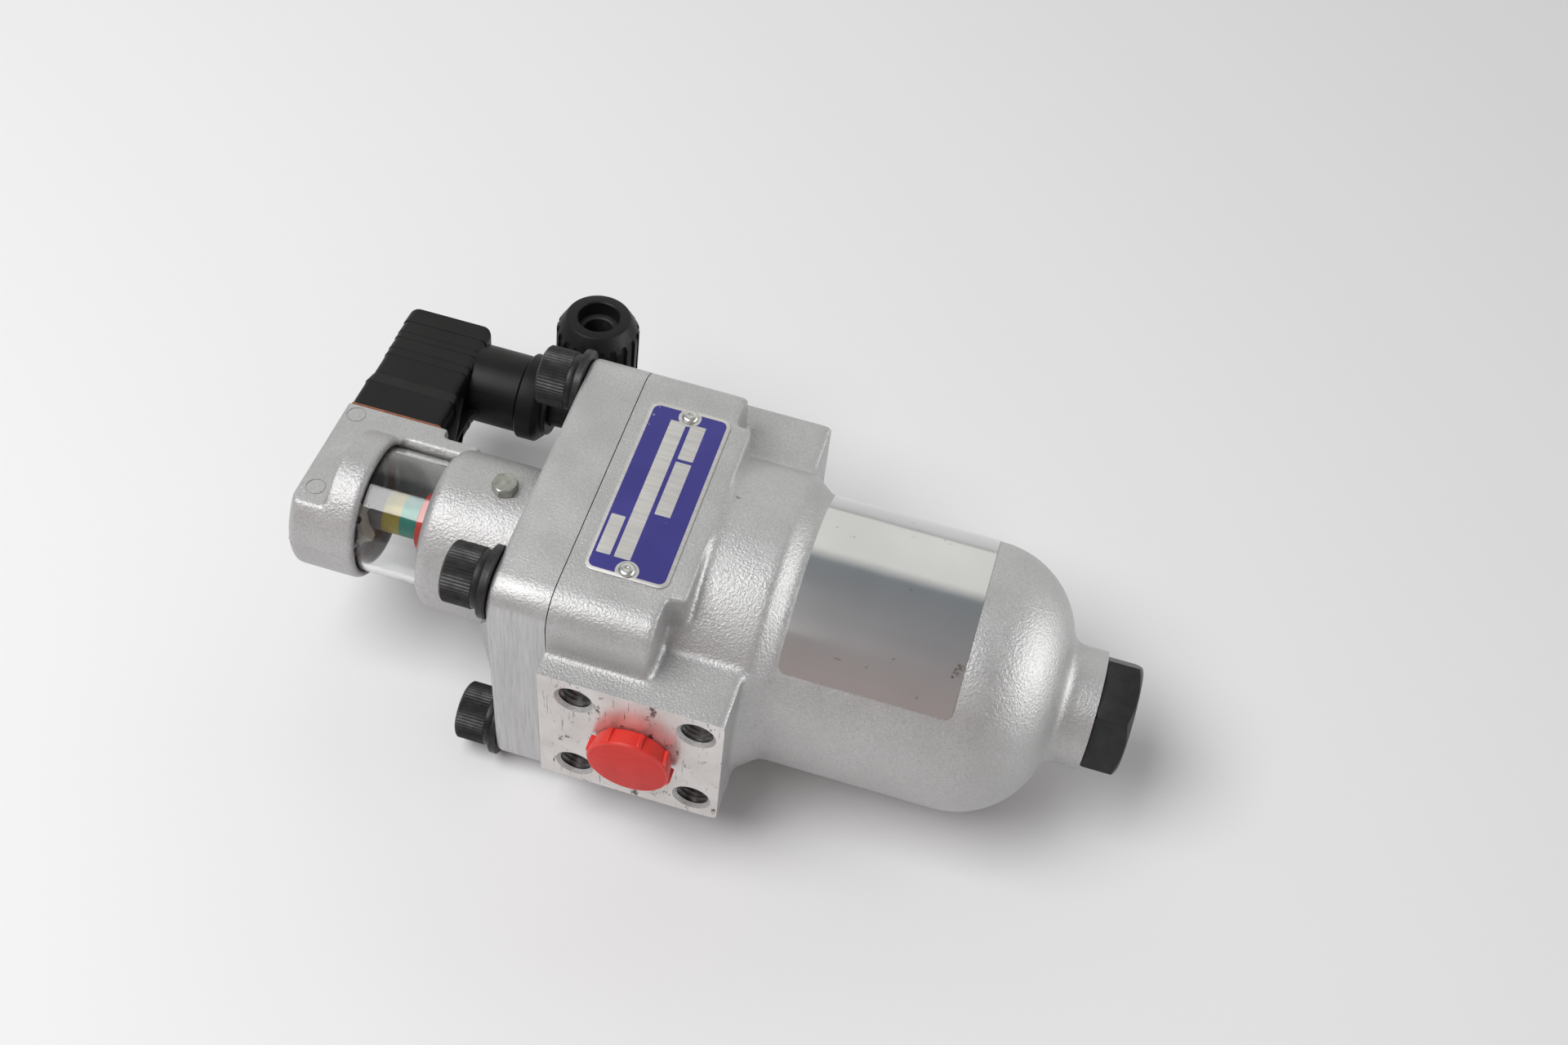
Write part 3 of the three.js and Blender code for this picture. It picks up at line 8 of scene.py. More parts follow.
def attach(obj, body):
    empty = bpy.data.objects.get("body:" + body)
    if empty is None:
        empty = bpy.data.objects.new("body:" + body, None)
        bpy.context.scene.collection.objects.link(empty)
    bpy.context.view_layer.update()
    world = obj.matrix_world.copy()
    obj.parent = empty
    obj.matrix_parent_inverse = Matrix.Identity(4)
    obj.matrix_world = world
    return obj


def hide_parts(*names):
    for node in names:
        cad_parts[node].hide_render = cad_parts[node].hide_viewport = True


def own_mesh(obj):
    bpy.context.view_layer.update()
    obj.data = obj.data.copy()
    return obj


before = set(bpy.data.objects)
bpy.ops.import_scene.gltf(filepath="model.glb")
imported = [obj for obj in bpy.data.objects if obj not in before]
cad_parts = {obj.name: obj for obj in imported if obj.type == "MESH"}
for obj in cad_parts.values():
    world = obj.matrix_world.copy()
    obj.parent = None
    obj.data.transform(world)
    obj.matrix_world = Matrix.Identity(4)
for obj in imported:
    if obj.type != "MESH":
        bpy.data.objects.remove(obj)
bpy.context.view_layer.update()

# Body casting
# An iron casting with the filter chamber, two port bosses and a bowl with a domed end. It is sprayed
# with silver paint that dries to a coarse orange peel. Joint face, port faces and the face under the
# drain plug are machined bare after painting, and the holes are drilled and tapped.
mm = 0.001
joint_x = -28.7


def place(x, y, z):
    """A point in mm, with x from the joint between cover and body."""
    return Vector(((x + joint_x) * mm, y * mm, z * mm))


def chosen(piece):
    """Makes a piece the only one selected, and the active one."""
    bpy.ops.object.select_all(action="DESELECT")
    piece.select_set(True)
    bpy.context.view_layer.objects.active = piece


def added(name, primitive, **settings):
    """A Blender primitive whose place, turn and scale go into its mesh."""
    bpy.ops.object.select_all(action="DESELECT")
    primitive(**settings)
    bpy.ops.object.transform_apply(location=True, rotation=True, scale=True)
    piece = bpy.context.object
    piece.name = name
    return piece


def one_vertex(name, point):
    """A new mesh in edit mode, shrunk from a plane to one vertex at a point."""
    piece = added(name, bpy.ops.mesh.primitive_plane_add, size=mm, location=(0, 0, 0))
    bpy.ops.object.mode_set(mode="EDIT")
    bpy.ops.mesh.select_all(action="SELECT")
    bpy.ops.mesh.merge(type="CENTER")
    bpy.ops.transform.translate(value=point)
    return piece


def draw_line(points):
    """Extrudes the selected vertex along points."""
    for near, far in zip(points, points[1:]):
        bpy.ops.mesh.extrude_region_move(TRANSFORM_OT_translate={"value": far - near})


def turned(name, profile, steps=96, axis="X", centre=(0, 0, 0)):
    """A profile of (along, radius) in mm from the joint, spun about an axis through a centre."""
    along, out = {
        "X": (Vector((1, 0, 0)), Vector((0, 0, 1))),
        "Y": (Vector((0, 1, 0)), Vector((0, 0, 1))),
        "Z": (Vector((0, 0, 1)), Vector((1, 0, 0))),
    }[axis]
    start = place(*centre)
    if profile[0][1] > 0:
        profile = [*profile, profile[0]]
    points = [start + along * a * mm + out * r * mm for a, r in profile]
    piece = one_vertex(name, points[0])
    draw_line(points)
    bpy.ops.mesh.select_all(action="SELECT")
    bpy.ops.mesh.spin(steps=steps, angle=2 * pi, center=start, axis=along)
    bpy.ops.mesh.select_all(action="SELECT")
    bpy.ops.mesh.remove_doubles(threshold=0.002 * mm)
    bpy.ops.mesh.normals_make_consistent(inside=False)
    bpy.ops.object.mode_set(mode="OBJECT")
    return piece


def rod(name, start, end, radius, steps=96, axis="X", centre=(0, 0, 0)):
    """A plain round bar, which also cuts a plain hole."""
    return turned(name, [(start, 0), (start, radius), (end, radius), (end, 0)], steps, axis, centre)


def boxed(name, x0, x1, y0, y1, z0, z1):
    """A box given by its limits in mm, x from the joint."""
    low, high = place(x0, y0, z0), place(x1, y1, z1)
    return added(name, bpy.ops.mesh.primitive_cube_add, size=1, location=(low + high) / 2, scale=high - low)


def round_edges(piece, width, segments, wanted):
    """Bevels the edges whose two ends answer wanted."""
    chosen(piece)
    bpy.ops.object.mode_set(mode="EDIT")
    bpy.ops.mesh.select_mode(type="EDGE")
    bpy.ops.mesh.select_all(action="DESELECT")
    mesh = bmesh.from_edit_mesh(piece.data)
    for edge in mesh.edges:
        edge.select_set(wanted(edge.verts[0].co, edge.verts[1].co))
    bmesh.update_edit_mesh(piece.data)
    bpy.ops.mesh.bevel(offset=width * mm, segments=segments, affect="EDGES")
    bpy.ops.mesh.select_mode(type="VERT")
    bpy.ops.object.mode_set(mode="OBJECT")
    return piece


def along_axis(index, where=lambda a, b: True):
    """Says whether an edge runs along an axis, and lies where it should."""
    return lambda a, b: abs((b - a).normalized()[index]) > 0.999 and where(a, b)


def modified(piece, kind, **settings):
    """Adds a modifier with its settings and applies it."""
    step = piece.modifiers.new("step", kind)
    for key, value in settings.items():
        setattr(step, key, value)
    bpy.context.view_layer.objects.active = piece
    bpy.ops.object.modifier_apply(modifier=step.name)


def softened(piece, width, angle):
    """A small bevel on all edges sharper than an angle."""
    modified(piece, "BEVEL", width=width * mm, segments=2, limit_method="ANGLE", angle_limit=radians(angle))


def melted(piece, voxel, rounds):
    """Rounds a piece as a casting is, by voxels that are then smoothed."""
    modified(piece, "REMESH", mode="VOXEL", voxel_size=voxel * mm)
    modified(piece, "SMOOTH", factor=0.5, iterations=rounds)


def combined(piece, tool, operation="DIFFERENCE"):
    """Joins or cuts a piece with a tool, which is then thrown away."""
    modified(piece, "BOOLEAN", operation=operation, solver="MANIFOLD", object=tool)
    bpy.data.objects.remove(tool)


def sliced(piece, point, normal):
    """Cuts away what lies beyond a plane, and closes the cut with a flat face."""
    chosen(piece)
    bpy.ops.object.mode_set(mode="EDIT")
    bpy.ops.mesh.select_all(action="SELECT")
    bpy.ops.mesh.bisect(plane_co=point, plane_no=normal, use_fill=True, clear_outer=True)
    bpy.ops.object.mode_set(mode="OBJECT")


def finished(piece, finish, angle, *others):
    """Gives a piece its finishes, the first one all over, and smooth shading up to an angle."""
    piece.data.materials.clear()
    for one in (finish, *others):
        piece.data.materials.append(one)
    for face in piece.data.polygons:
        face.material_index = 0
    chosen(piece)
    bpy.ops.object.shade_smooth_by_angle(angle=radians(angle))


def arc(along, radius, bend, start, end, steps):
    """Points of a profile on an arc about (along, radius), from one angle to another."""
    turns = [radians(start + (end - start) * i / steps) for i in range(steps + 1)]
    return [(along + bend * cos(t), radius + bend * sin(t)) for t in turns]


def fed(owner, socket, value):
    """Ties a socket to a pattern, or gives it a plain value, where a tuple is a colour."""
    if isinstance(value, bpy.types.NodeSocket):
        owner.node_tree.links.new(value, socket)
    else:
        socket.default_value = (*value, 1) if isinstance(value, tuple) else value


def shaded(finish, **values):
    """Feeds inputs of the finish's shader, each named with _ for a space."""
    for name, value in values.items():
        fed(finish, finish.node_tree.nodes["Principled BSDF"].inputs[name.replace("_", " ")], value)


def new_finish(name, roughness, metallic=0.0):
    """A material with the roughness and the share of metal of its shader."""
    finish = bpy.data.materials.new(name)
    finish.use_nodes = True
    shaded(finish, Roughness=roughness, Metallic=metallic)
    return finish


def noise(finish, scale, detail, stretch=(1, 1, 1), rough=0.5):
    """A noise pattern on the object's own coordinates."""
    nodes, links = finish.node_tree.nodes, finish.node_tree.links
    where = nodes.new("ShaderNodeTexCoord")
    mapping = nodes.new("ShaderNodeMapping")
    mapping.inputs["Scale"].default_value = stretch
    texture = nodes.new("ShaderNodeTexNoise")
    texture.inputs["Scale"].default_value = scale
    texture.inputs["Detail"].default_value = detail
    texture.inputs["Roughness"].default_value = rough
    links.new(where.outputs["Object"], mapping.inputs["Vector"])
    links.new(mapping.outputs["Vector"], texture.inputs["Vector"])
    return texture.outputs["Fac"]


def ramp(finish, value, *stops):
    """A value turned into colours at stops of (place, colour)."""
    node = finish.node_tree.nodes.new("ShaderNodeValToRGB")
    marks = node.color_ramp.elements
    while len(marks) < len(stops):
        marks.new(0.5)
    for mark, (position, colour) in zip(marks, stops):
        mark.position = position
        mark.color = (*colour, 1) if isinstance(colour, tuple) else (colour, colour, colour, 1)
    finish.node_tree.links.new(value, node.inputs["Fac"])
    return node.outputs["Color"]


def mixed(finish, share, first, second):
    """Two colours mixed by a share, each of them a pattern or a plain colour."""
    node = finish.node_tree.nodes.new("ShaderNodeMix")
    node.data_type = "RGBA"
    factor, colour_a, colour_b, result = node.inputs[0], node.inputs[6], node.inputs[7], node.outputs[2]
    for socket, value in ((factor, share), (colour_a, first), (colour_b, second)):
        fed(finish, socket, value)
    return result


def toned(name, roughness, metallic, pattern, *stops):
    """A finish whose colour follows a noise pattern, between stops of (place, colour)."""
    finish = new_finish(name, roughness, metallic)
    shaded(finish, Base_Color=ramp(finish, noise(finish, *pattern), *stops))
    return finish


def raised(finish, height, distance):
    """Bump from a height pattern, added to the bumps made before it."""
    nodes, links = finish.node_tree.nodes, finish.node_tree.links
    shader = nodes["Principled BSDF"]
    bump = nodes.new("ShaderNodeBump")
    bump.inputs["Distance"].default_value = distance * mm
    links.new(height, bump.inputs["Height"])
    if shader.inputs["Normal"].is_linked:
        links.new(shader.inputs["Normal"].links[0].from_socket, bump.inputs["Normal"])
    links.new(bump.outputs["Normal"], shader.inputs["Normal"])


def silver_paint(name, grain, height, light, dark):
    """Sprayed silver: orange peel, cloudy tone, small grey stains and brown chips."""
    finish = new_finish(name, 0.45, 0.55)
    clouds = ramp(finish, noise(finish, 45, 4), (0.35, dark), (0.65, light))
    flecks = ramp(finish, noise(finish, 1500, 3), (0.35, 0.0), (0.7, 0.5))
    flecked = mixed(finish, flecks, clouds, (0.36, 0.36, 0.36))
    stains = ramp(finish, noise(finish, 160, 5, rough=0.65), (0.7, 0.0), (0.76, 1.0))
    soiled = mixed(finish, stains, flecked, (0.22, 0.2, 0.185))
    sheen = ramp(finish, noise(finish, 90, 3), (0.3, 0.4), (0.7, 0.5))
    shaded(finish, Base_Color=soiled, Roughness=sheen)
    raised(finish, noise(finish, grain, 2), height)
    raised(finish, noise(finish, grain * 2.2, 1), height * 0.35)
    return finish


silver_light, silver_dark = (0.58, 0.58, 0.572), (0.51, 0.51, 0.502)
cast_silver = silver_paint("cast_silver", 1300, 0.2, silver_light, silver_dark)
bare_iron = new_finish("machined_iron", 0.32, 0.7)
iron_tone = ramp(bare_iron, noise(bare_iron, 70, 4), (0.35, (0.66, 0.63, 0.6)), (0.7, (0.8, 0.785, 0.765)))
iron_specks = ramp(bare_iron, noise(bare_iron, 300, 6, (1, 1, 0.6), rough=0.72), (0.585, 0.0), (0.64, 1.0))
iron_marked = mixed(bare_iron, iron_specks, iron_tone, (0.12, 0.1, 0.09))
iron_scratches = ramp(bare_iron, noise(bare_iron, 260, 5, (5, 1, 0.3), rough=0.7), (0.62, 0.0), (0.67, 0.85))
shaded(bare_iron, Base_Color=mixed(bare_iron, iron_scratches, iron_marked, (0.16, 0.14, 0.13)))
raised(bare_iron, noise(bare_iron, 240, 2, (6, 1, 0.25)), 0.05)
# Painted shade: the cut steel of the hole walls is coloured far darker than the machined faces
shaded_thread_steel = toned(
    "tapped_thread_painted_shade", 0.36, 0.8, (500, 3), (0.3, (0.09, 0.088, 0.085)), (0.7, (0.26, 0.255, 0.25)))

barrel_radius, bowl_radius, bowl_end, dome_radius = 45.3, 41.0, 115.0, 28.0
drain_boss_radius, body_end, boss_fillet = 18.0, 153.0, 4.0
dome_centre = bowl_radius - dome_radius
fillet_centre = drain_boss_radius + boss_fillet
fillet_turn = degrees(asin((fillet_centre - dome_centre) / (dome_radius + boss_fillet)))
fillet_x = bowl_end + (dome_radius + boss_fillet) * cos(radians(fillet_turn))
cast_profile = [
    (-5, 0),
    (-5, barrel_radius),
    (56, barrel_radius),
    (61.5, bowl_radius),
    (bowl_end, bowl_radius),
    *arc(bowl_end, dome_centre, dome_radius, 88, fillet_turn, 20),
    *arc(fillet_x, fillet_centre, boss_fillet, 180 + fillet_turn, 270, 8)[1:],
    (body_end + 5, drain_boss_radius),
    (body_end + 5, 0),
]
block_half_y, block_half_z, block_corner = 48, 46, 10
body = turned("body_cast", cast_profile, 160)
block = boxed("block", -5, 30, -block_half_y, block_half_y, -block_half_z, block_half_z)
round_edges(block, block_corner, 8, along_axis(0))
pad = boxed("pad", -5, 35.3, -32, 32, 20, block_half_z)
bosses = boxed("bosses", -5, 54.7, -61, 61, -26.8, 26.8)
for lump in (block, pad, bosses):
    combined(body, lump, "UNION")
melted(body, 1.0, 9)
port_face = 55.85
sliced(body, place(0, 0, 0), (-1, 0, 0))
sliced(body, place(body_end, 0, 0), (1, 0, 0))
sliced(body, place(0, port_face, 0), (0, 1, 0))
sliced(body, place(0, -port_face, 0), (0, -1, 0))

# The hollow inside, the ports, the tapped holes
chamber = turned("chamber", [
    (-2, 0), (-2, 36), (9, 36), (9, 34), (45, 34), (45, 29), (52, 29), (52, 33), (bowl_end, 33),
    *arc(bowl_end, dome_centre, 20, 88, 2, 8), (135, 10.5), (150.6, 10.5), (150.6, 13.2), (155, 13.2),
    (155, 0)])
combined(body, chamber)
port_axis, port_radius, flange_half, flange_thread = 28.7, 8.5, 18.0, 4.8
thread_pitch, thread_depth, thread_turns = 1.5, 0.75, 10
for side, reach in ((-1, 13), (1, 45)):
    port_ends = side * (port_face + 2), side * (port_face - reach)
    combined(body, rod("bore", *port_ends, port_radius, 64, "Y", (port_axis, 0, 0)))
    for x in (-flange_half, flange_half):
        for z in (-flange_half, flange_half):
            wall = [
                (port_face + 2, 0), (port_face + 2, 5.9), (port_face, 5.9), (port_face - 1.1, flange_thread)]
            for turn in range(thread_turns):
                top = port_face - 1.5 - turn * thread_pitch
                wall += [(top, flange_thread), (top - thread_pitch * 0.45, flange_thread + thread_depth)]
            wall += [(port_face - 17, flange_thread), (port_face - 17, 0)]
            hole = turned("hole", [(side * a, r) for a, r in wall], 40, "Y", (port_axis + x, 0, z))
            combined(body, hole)
screw_half, tapped_radius, clearance_radius = 38, 6.3, 6.6
rivet_x, rivet_ys, rivet_hole_radius = 16.7, (29.5, -28.0), 1.4
screw_places = [(y * screw_half, z * screw_half) for y, z in ((1, 1), (-1, 1), (-1, -1), (1, -1))]
for y, z in sorted(screw_places):
    combined(body, rod("hole", -2, 20.6, tapped_radius, 32, "X", (0, y, z)))
for y in rivet_ys:
    combined(body, rod("hole", 40, 48, rivet_hole_radius, 24, "Z", (rivet_x, y, 0)))

# Machined faces show bare iron, and the walls of ports and flange holes show cut steel, painted much darker
# as painted shade in the holes
finished(body, cast_silver, 28, bare_iron, shaded_thread_steel)
tolerance = 0.05
for face in body.data.polygons:
    x, y, z = face.center / mm
    off_corner, off_port = hypot(abs(x) - flange_half, abs(z) - flange_half), hypot(x, z)
    machined = (
        (abs(face.normal.y) > 0.99 and abs(y) > port_face - tolerance)
        or (face.normal.x > 0.99 and x > body_end + joint_x - tolerance)
        or (face.normal.x < -0.99 and x < joint_x + tolerance))
    drilled = 37.5 < abs(y) < 54.8 and abs(z) < 24.5 and (off_corner < 6.1 or off_port < 9.6)
    face.material_index = 1 if machined else 2 if drilled else 0
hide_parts("body_casting")
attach(body, "filter_body")

# Cover plate
# A thick plate, painted with the body. Its front and rear sides were faced after painting, which left
# fine upright streaks. A wedge on it, in front of the indicator, holds the sensing passage.


def pushed(name, corners, way):
    """A flat outline of corners, pushed along a way, all in mm."""
    corners = [place(*corner) for corner in corners]
    piece = one_vertex(name, corners[0])
    draw_line(corners)
    bpy.ops.mesh.select_all(action="SELECT")
    bpy.ops.mesh.edge_face_add()
    bpy.ops.mesh.extrude_region_move(TRANSFORM_OT_translate={"value": [length * mm for length in way]})
    bpy.ops.mesh.select_all(action="SELECT")
    bpy.ops.mesh.normals_make_consistent(inside=False)
    bpy.ops.object.mode_set(mode="OBJECT")
    return piece


cover_paint = silver_paint("cover_silver", 1400, 0.14, silver_light, silver_dark)
streaked = new_finish("faced_side", 0.42, 0.6)
streaks = noise(streaked, 70, 6, (26, 1, 0.9), rough=0.75)
shaded(streaked, Base_Color=ramp(streaked, streaks, (0.3, 0.42), (0.5, 0.55), (0.66, 0.62)))
raised(streaked, noise(streaked, 90, 3, (30, 1, 0.6)), 0.05)
cover_top = -18
cover = boxed(
    "cover_plate_painted", cover_top, -0.3, -block_half_y, block_half_y, -block_half_z, block_half_z)
round_edges(cover, block_corner, 10, along_axis(0))
outer_face = place(cover_top + 0.1, 0, 0).x
round_edges(cover, 1.6, 3, lambda a, b: max(a.x, b.x) < outer_face)
wedge_points = [
    (26.5, -16), (26.5, -18.3), (22, -22), (12, -21.1), (4, -20.2), (-5, -19.4), (-14, -18), (-14, -16)]
combined(cover, pushed("wedge", [(x, -43, z) for z, x in wedge_points], (0, 23, 0)), "UNION")
combined(cover, rod("neck_room", -60, cover_top, 25.3))
combined(cover, turned("spigot", [
    (-2, 0), (-2, 35.7), (2.4, 35.7), (2.4, 32.9), (5.4, 32.9), (5.4, 35.7), (7, 35.7), (7, 0)]), "UNION")
combined(cover, turned("tap", [(-22, 0), (-22, 13), (-5, 13), (-5, 4), (9, 4), (9, 0)], 64))
for y, z in sorted(screw_places):
    combined(cover, rod("hole", -24, 2, clearance_radius, 40, "X", (0, y, z)))
finished(cover, cover_paint, 30, streaked)
for face in cover.data.polygons:
    on_side = abs(face.normal.y) > 0.9 and abs(face.center.y) > (block_half_y - 1) * mm
    face.material_index = 1 if on_side else 0
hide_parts("cover_plate")
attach(cover, "filter_body")

# Cover screws and spring washers
# Four black oxide socket head screws of M12 with a straight knurl round the head, each on a split
# spring washer that is a little wider than the head. They stand in a square of 76 mm.
oxide_black = toned(
    "oiled_black_oxide", 0.42, 0.35, (420, 4), (0.35, (0.018, 0.018, 0.019)), (0.75, (0.04, 0.038, 0.037)))
shaded(oxide_black, Roughness=ramp(oxide_black, noise(oxide_black, 260, 3), (0.35, 0.32), (0.7, 0.55)))
raised(oxide_black, noise(oxide_black, 1500, 2), 0.04)


def dressed(finish, *names):
    """Gives CAD nodes that stay as they are a finish."""
    for name in names:
        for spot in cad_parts[name].material_slots:
            spot.material = finish


def kept(piece, body_name, slot_name, *nodes):
    """Ties a finished piece to its body and to the solids that it stands for, which it hides. The slot name
    is not used.
    """
    if nodes:
        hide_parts(*nodes)
    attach(piece, body_name)


def prism(name, x0, x1, radius, sides):
    """A bar about X with flat sides."""
    return added(
        name, bpy.ops.mesh.primitive_cylinder_add, vertices=sides, radius=radius * mm, depth=(x1 - x0) * mm,
        location=place((x0 + x1) / 2, 0, 0), rotation=(0, pi / 2, 0))


def knurled_bar(name, x0, x1, outer, depth, teeth):
    """A bar about X with a straight knurl: every second tooth of its side pressed in."""
    bar = prism(name, x0, x1, outer, 2 * teeth)
    bpy.ops.object.mode_set(mode="EDIT")
    bpy.ops.mesh.select_all(action="DESELECT")
    mesh = bmesh.from_edit_mesh(bar.data)
    for vertex in mesh.verts:
        vertex.select_set((vertex.index // 2) % 2 == 0)
    bmesh.update_edit_mesh(bar.data)
    share = 1 - depth / outer
    bpy.ops.transform.resize(value=(1, share, share), center_override=place((x0 + x1) / 2, 0, 0))
    bpy.ops.object.mode_set(mode="OBJECT")
    return bar


head_seat, head_top, knurl_radius, knurl_depth, knurl_teeth = -20.6, -32.2, 9.0, 0.28, 56
screw_model = knurled_bar(
    "cover_screw_turned", head_top + 0.2, -22.9, knurl_radius, knurl_depth, knurl_teeth)
combined(screw_model, turned("envelope", [
    (head_top, 0), (head_top, 7.9), (head_top + 0.35, 8.45), (head_top + 1.1, 9.1), (-18, 9.1),
    (-18, 0)], 112), "INTERSECT")
combined(screw_model, turned("core", [
    (head_top, 0), (head_top, 7.8), (head_top + 0.5, 8.35), (head_top + 1.3, 8.62), (-23.2, 8.62),
    (-22.7, 8.72), (-21.2, 8.72), (head_seat, 8.3), (head_seat, 6), (19.2, 6), (20, 5.2),
    (20, 0)], 112), "UNION")
combined(screw_model, turned("socket", [
    (head_top - 2, 0), (head_top - 2, 5.774), (head_top + 6, 5.774), (head_top + 7.4, 0)], 6))
combined(screw_model, turned("socket_mouth", [
    (head_top - 0.5, 0), (head_top - 0.5, 6.5), (head_top + 0.9, 5.1), (head_top + 0.9, 0)], 64))
finished(screw_model, oxide_black, 40)
washer_model = turned("spring_washer_split", [
    (-18.1, 6.5), (-18.1, 10.35), (-18.4, 10.75), (-20.2, 10.75), (-20.5, 10.35), (-20.5, 6.5)])
gap_slant, gap_middle = radians(12), place(-19, 0, 0).x
gap_tool = boxed("gap", -24, -14, -0.8, 0.8, 0, 14)
gap_tool.data.transform(Matrix.Rotation(gap_slant, 4, "Z"))
gap_tool.data.transform(Matrix.Translation((0.3 * mm - gap_middle * (cos(gap_slant) - 1), 0, 0)))
combined(washer_model, gap_tool)
finished(washer_model, oxide_black, 40)
for number, (y, z) in enumerate(screw_places, 1):
    for model, label, turn in (
            (screw_model, "cover_screw_", 17 * number), (washer_model, "spring_washer_", 73 * number)):
        piece = model.copy()
        piece.data = model.data.copy()
        piece.name = label + "piece_" + str(number)
        bpy.context.collection.objects.link(piece)
        piece.data.transform(Matrix.Rotation(radians(turn), 4, "X"))
        piece.data.transform(Matrix.Translation((0, y * mm, z * mm)))
        kept(piece, "filter_body", "black_steel", label + str(number))
bpy.data.objects.remove(screw_model)
bpy.data.objects.remove(washer_model)

# Port caps
# Soft red plugs of moulded polyethylene that close the bare ports for transport. A thin stem goes
# into the bore, and eight bars on the rim give the fingers a grip.
red_moulding = toned(
    "red_polyethylene", 0.38, 0.0, (120, 3), (0.3, (0.72, 0.03, 0.022)), (0.7, (0.8, 0.045, 0.03)))
red_sheen = ramp(red_moulding, noise(red_moulding, 180, 2), (0.3, 0.3), (0.7, 0.46))
shaded(red_moulding, Roughness=red_sheen, Subsurface_Weight=0.15, Subsurface_Radius=[0.003, 0.0006, 0.0004])
raised(red_moulding, noise(red_moulding, 700, 2), 0.03)
red_face = toned("red_cap_face", 0.6, 0.0, (150, 4), (0.3, (0.66, 0.02, 0.014)), (0.7, (0.74, 0.035, 0.024)))
raised(red_face, noise(red_face, 500, 3), 0.05)
grip_count = 8
for side, name, body_name in ((-1, "front", "front_cap"), (1, "rear", "rear_cap")):
    cap_profile = [
        (6.1, 0), (6.1, 11.6), (5.9, 12.1), (5.4, 12.4), (1.2, 11.75), (0.5, 11.5), (0.15, 11.0), (0.15, 8.2),
        (-7.4, 7.8), (-8, 7.4), (-8, 6.1), (4.7, 6.6), (4.7, 0)]
    cap_profile = [(side * (port_face + a), r) for a, r in cap_profile]
    cap = turned(name + "_cap_moulded", cap_profile, 96, "Y", (port_axis, 0, 0))
    low, high = sorted((side * (port_face + 0.9), side * (port_face + 5.6)))
    for bar_number in range(grip_count):
        bar = boxed("grip", port_axis + 11.2, port_axis + 12.95, low, high, -0.8, 0.8)
        round_edges(bar, 0.45, 3, lambda a, b: min(a.x, b.x) > 12.9 * mm)
        bar.data.transform(Matrix.Rotation(radians(360 / grip_count * bar_number + 14), 4, "Y"))
        combined(cap, bar, "UNION")
    finished(cap, red_moulding, 32, red_face)
    for face in cap.data.polygons:
        flat = abs(face.normal.y) > 0.98 and abs(face.center.y) > (port_face + 6) * mm
        face.material_index = 1 if flat else 0
    kept(cap, body_name, "red_plastic", name + "_port_cap")

# Nameplate and rivets
# A thin aluminium plate with round corners, printed blue round bare fields for stamped data, which
# stay empty here. Two domed drive rivets hold it on the cast pad.
plate_metal = toned(
    "plate_aluminium", 0.42, 0.75, (80, 5, (1, 12, 1)), (0.3, (0.6, 0.585, 0.56)), (0.7, (0.72, 0.705, 0.68)))
raised(plate_metal, noise(plate_metal, 300, 3, (1, 9, 1)), 0.02)
plate_blue = new_finish("plate_blue_print", 0.36)
scuffs = ramp(plate_blue, noise(plate_blue, 210, 6, (1, 0.5, 1), rough=0.75), (0.665, 0.0), (0.69, 1.0))
blue_tone = ramp(plate_blue, noise(plate_blue, 60, 2), (0.3, (0.03, 0.026, 0.2)), (0.7, (0.045, 0.04, 0.25)))
shaded(plate_blue, Base_Color=mixed(plate_blue, scuffs, blue_tone, (0.6, 0.6, 0.6)))
plate = boxed("nameplate_sheet", 4.4, 29.0, -30.55, 32.35, 46.1, 46.6)
round_edges(plate, 3, 6, along_axis(2))
round_edges(plate, 0.12, 2, lambda a, b: min(a.z, b.z) > 46.55 * mm)
print_sheet = boxed("nameplate_print", 5.5, 27.9, -29.4, 31.2, 46.58, 46.66)
round_edges(print_sheet, 2, 5, along_axis(2))
bare_fields = [
    (6.3, 10.5, -24.4, -10.5), (11.6, 16.4, -24.5, 27.2), (17.8, 22.4, 13.9, 27.3), (17.7, 22.4, -7.0, 12.9)]
for x0, x1, y0, y1 in bare_fields:
    field = boxed("field", x0, x1, y0, y1, 46, 47)
    round_edges(field, 0.25, 2, along_axis(2))
    combined(print_sheet, field)
for y in rivet_ys:
    combined(print_sheet, rod("rivet_clearing", 46, 47, 3.4, 48, "Z", (rivet_x, y, 0)))
    combined(plate, rod("rivet_hole", 40, 50, rivet_hole_radius, 24, "Z", (rivet_x, y, 0)))
finished(plate, plate_metal, 30)
finished(print_sheet, plate_blue, 30)
kept(plate, "filter_body", "printed_plate", "nameplate")
kept(print_sheet, "filter_body", "printed_plate")
bright_steel = toned("bright_zinc", 0.28, 0.9, (400, 4), (0.3, (0.56, 0.56, 0.53)), (0.7, (0.74, 0.74, 0.7)))
raised(bright_steel, noise(bright_steel, 900, 2), 0.02)
for number, y in enumerate(rivet_ys, 1):
    rivet = turned("rivet_" + str(number), [
        (40.4, 0), (40.4, 1.1), (46.75, 1.1), (46.75, 2.3), (47.05, 2.42), (47.4, 2.3), (47.75, 1.85),
        (47.95, 1.2), (47.8, 0.55), (47.62, 0)], 48, "Z", (rivet_x, y, 0))
    finished(rivet, bright_steel, 50)
    kept(rivet, "filter_body", "bright_metal", "nameplate_rivet_" + str(number))

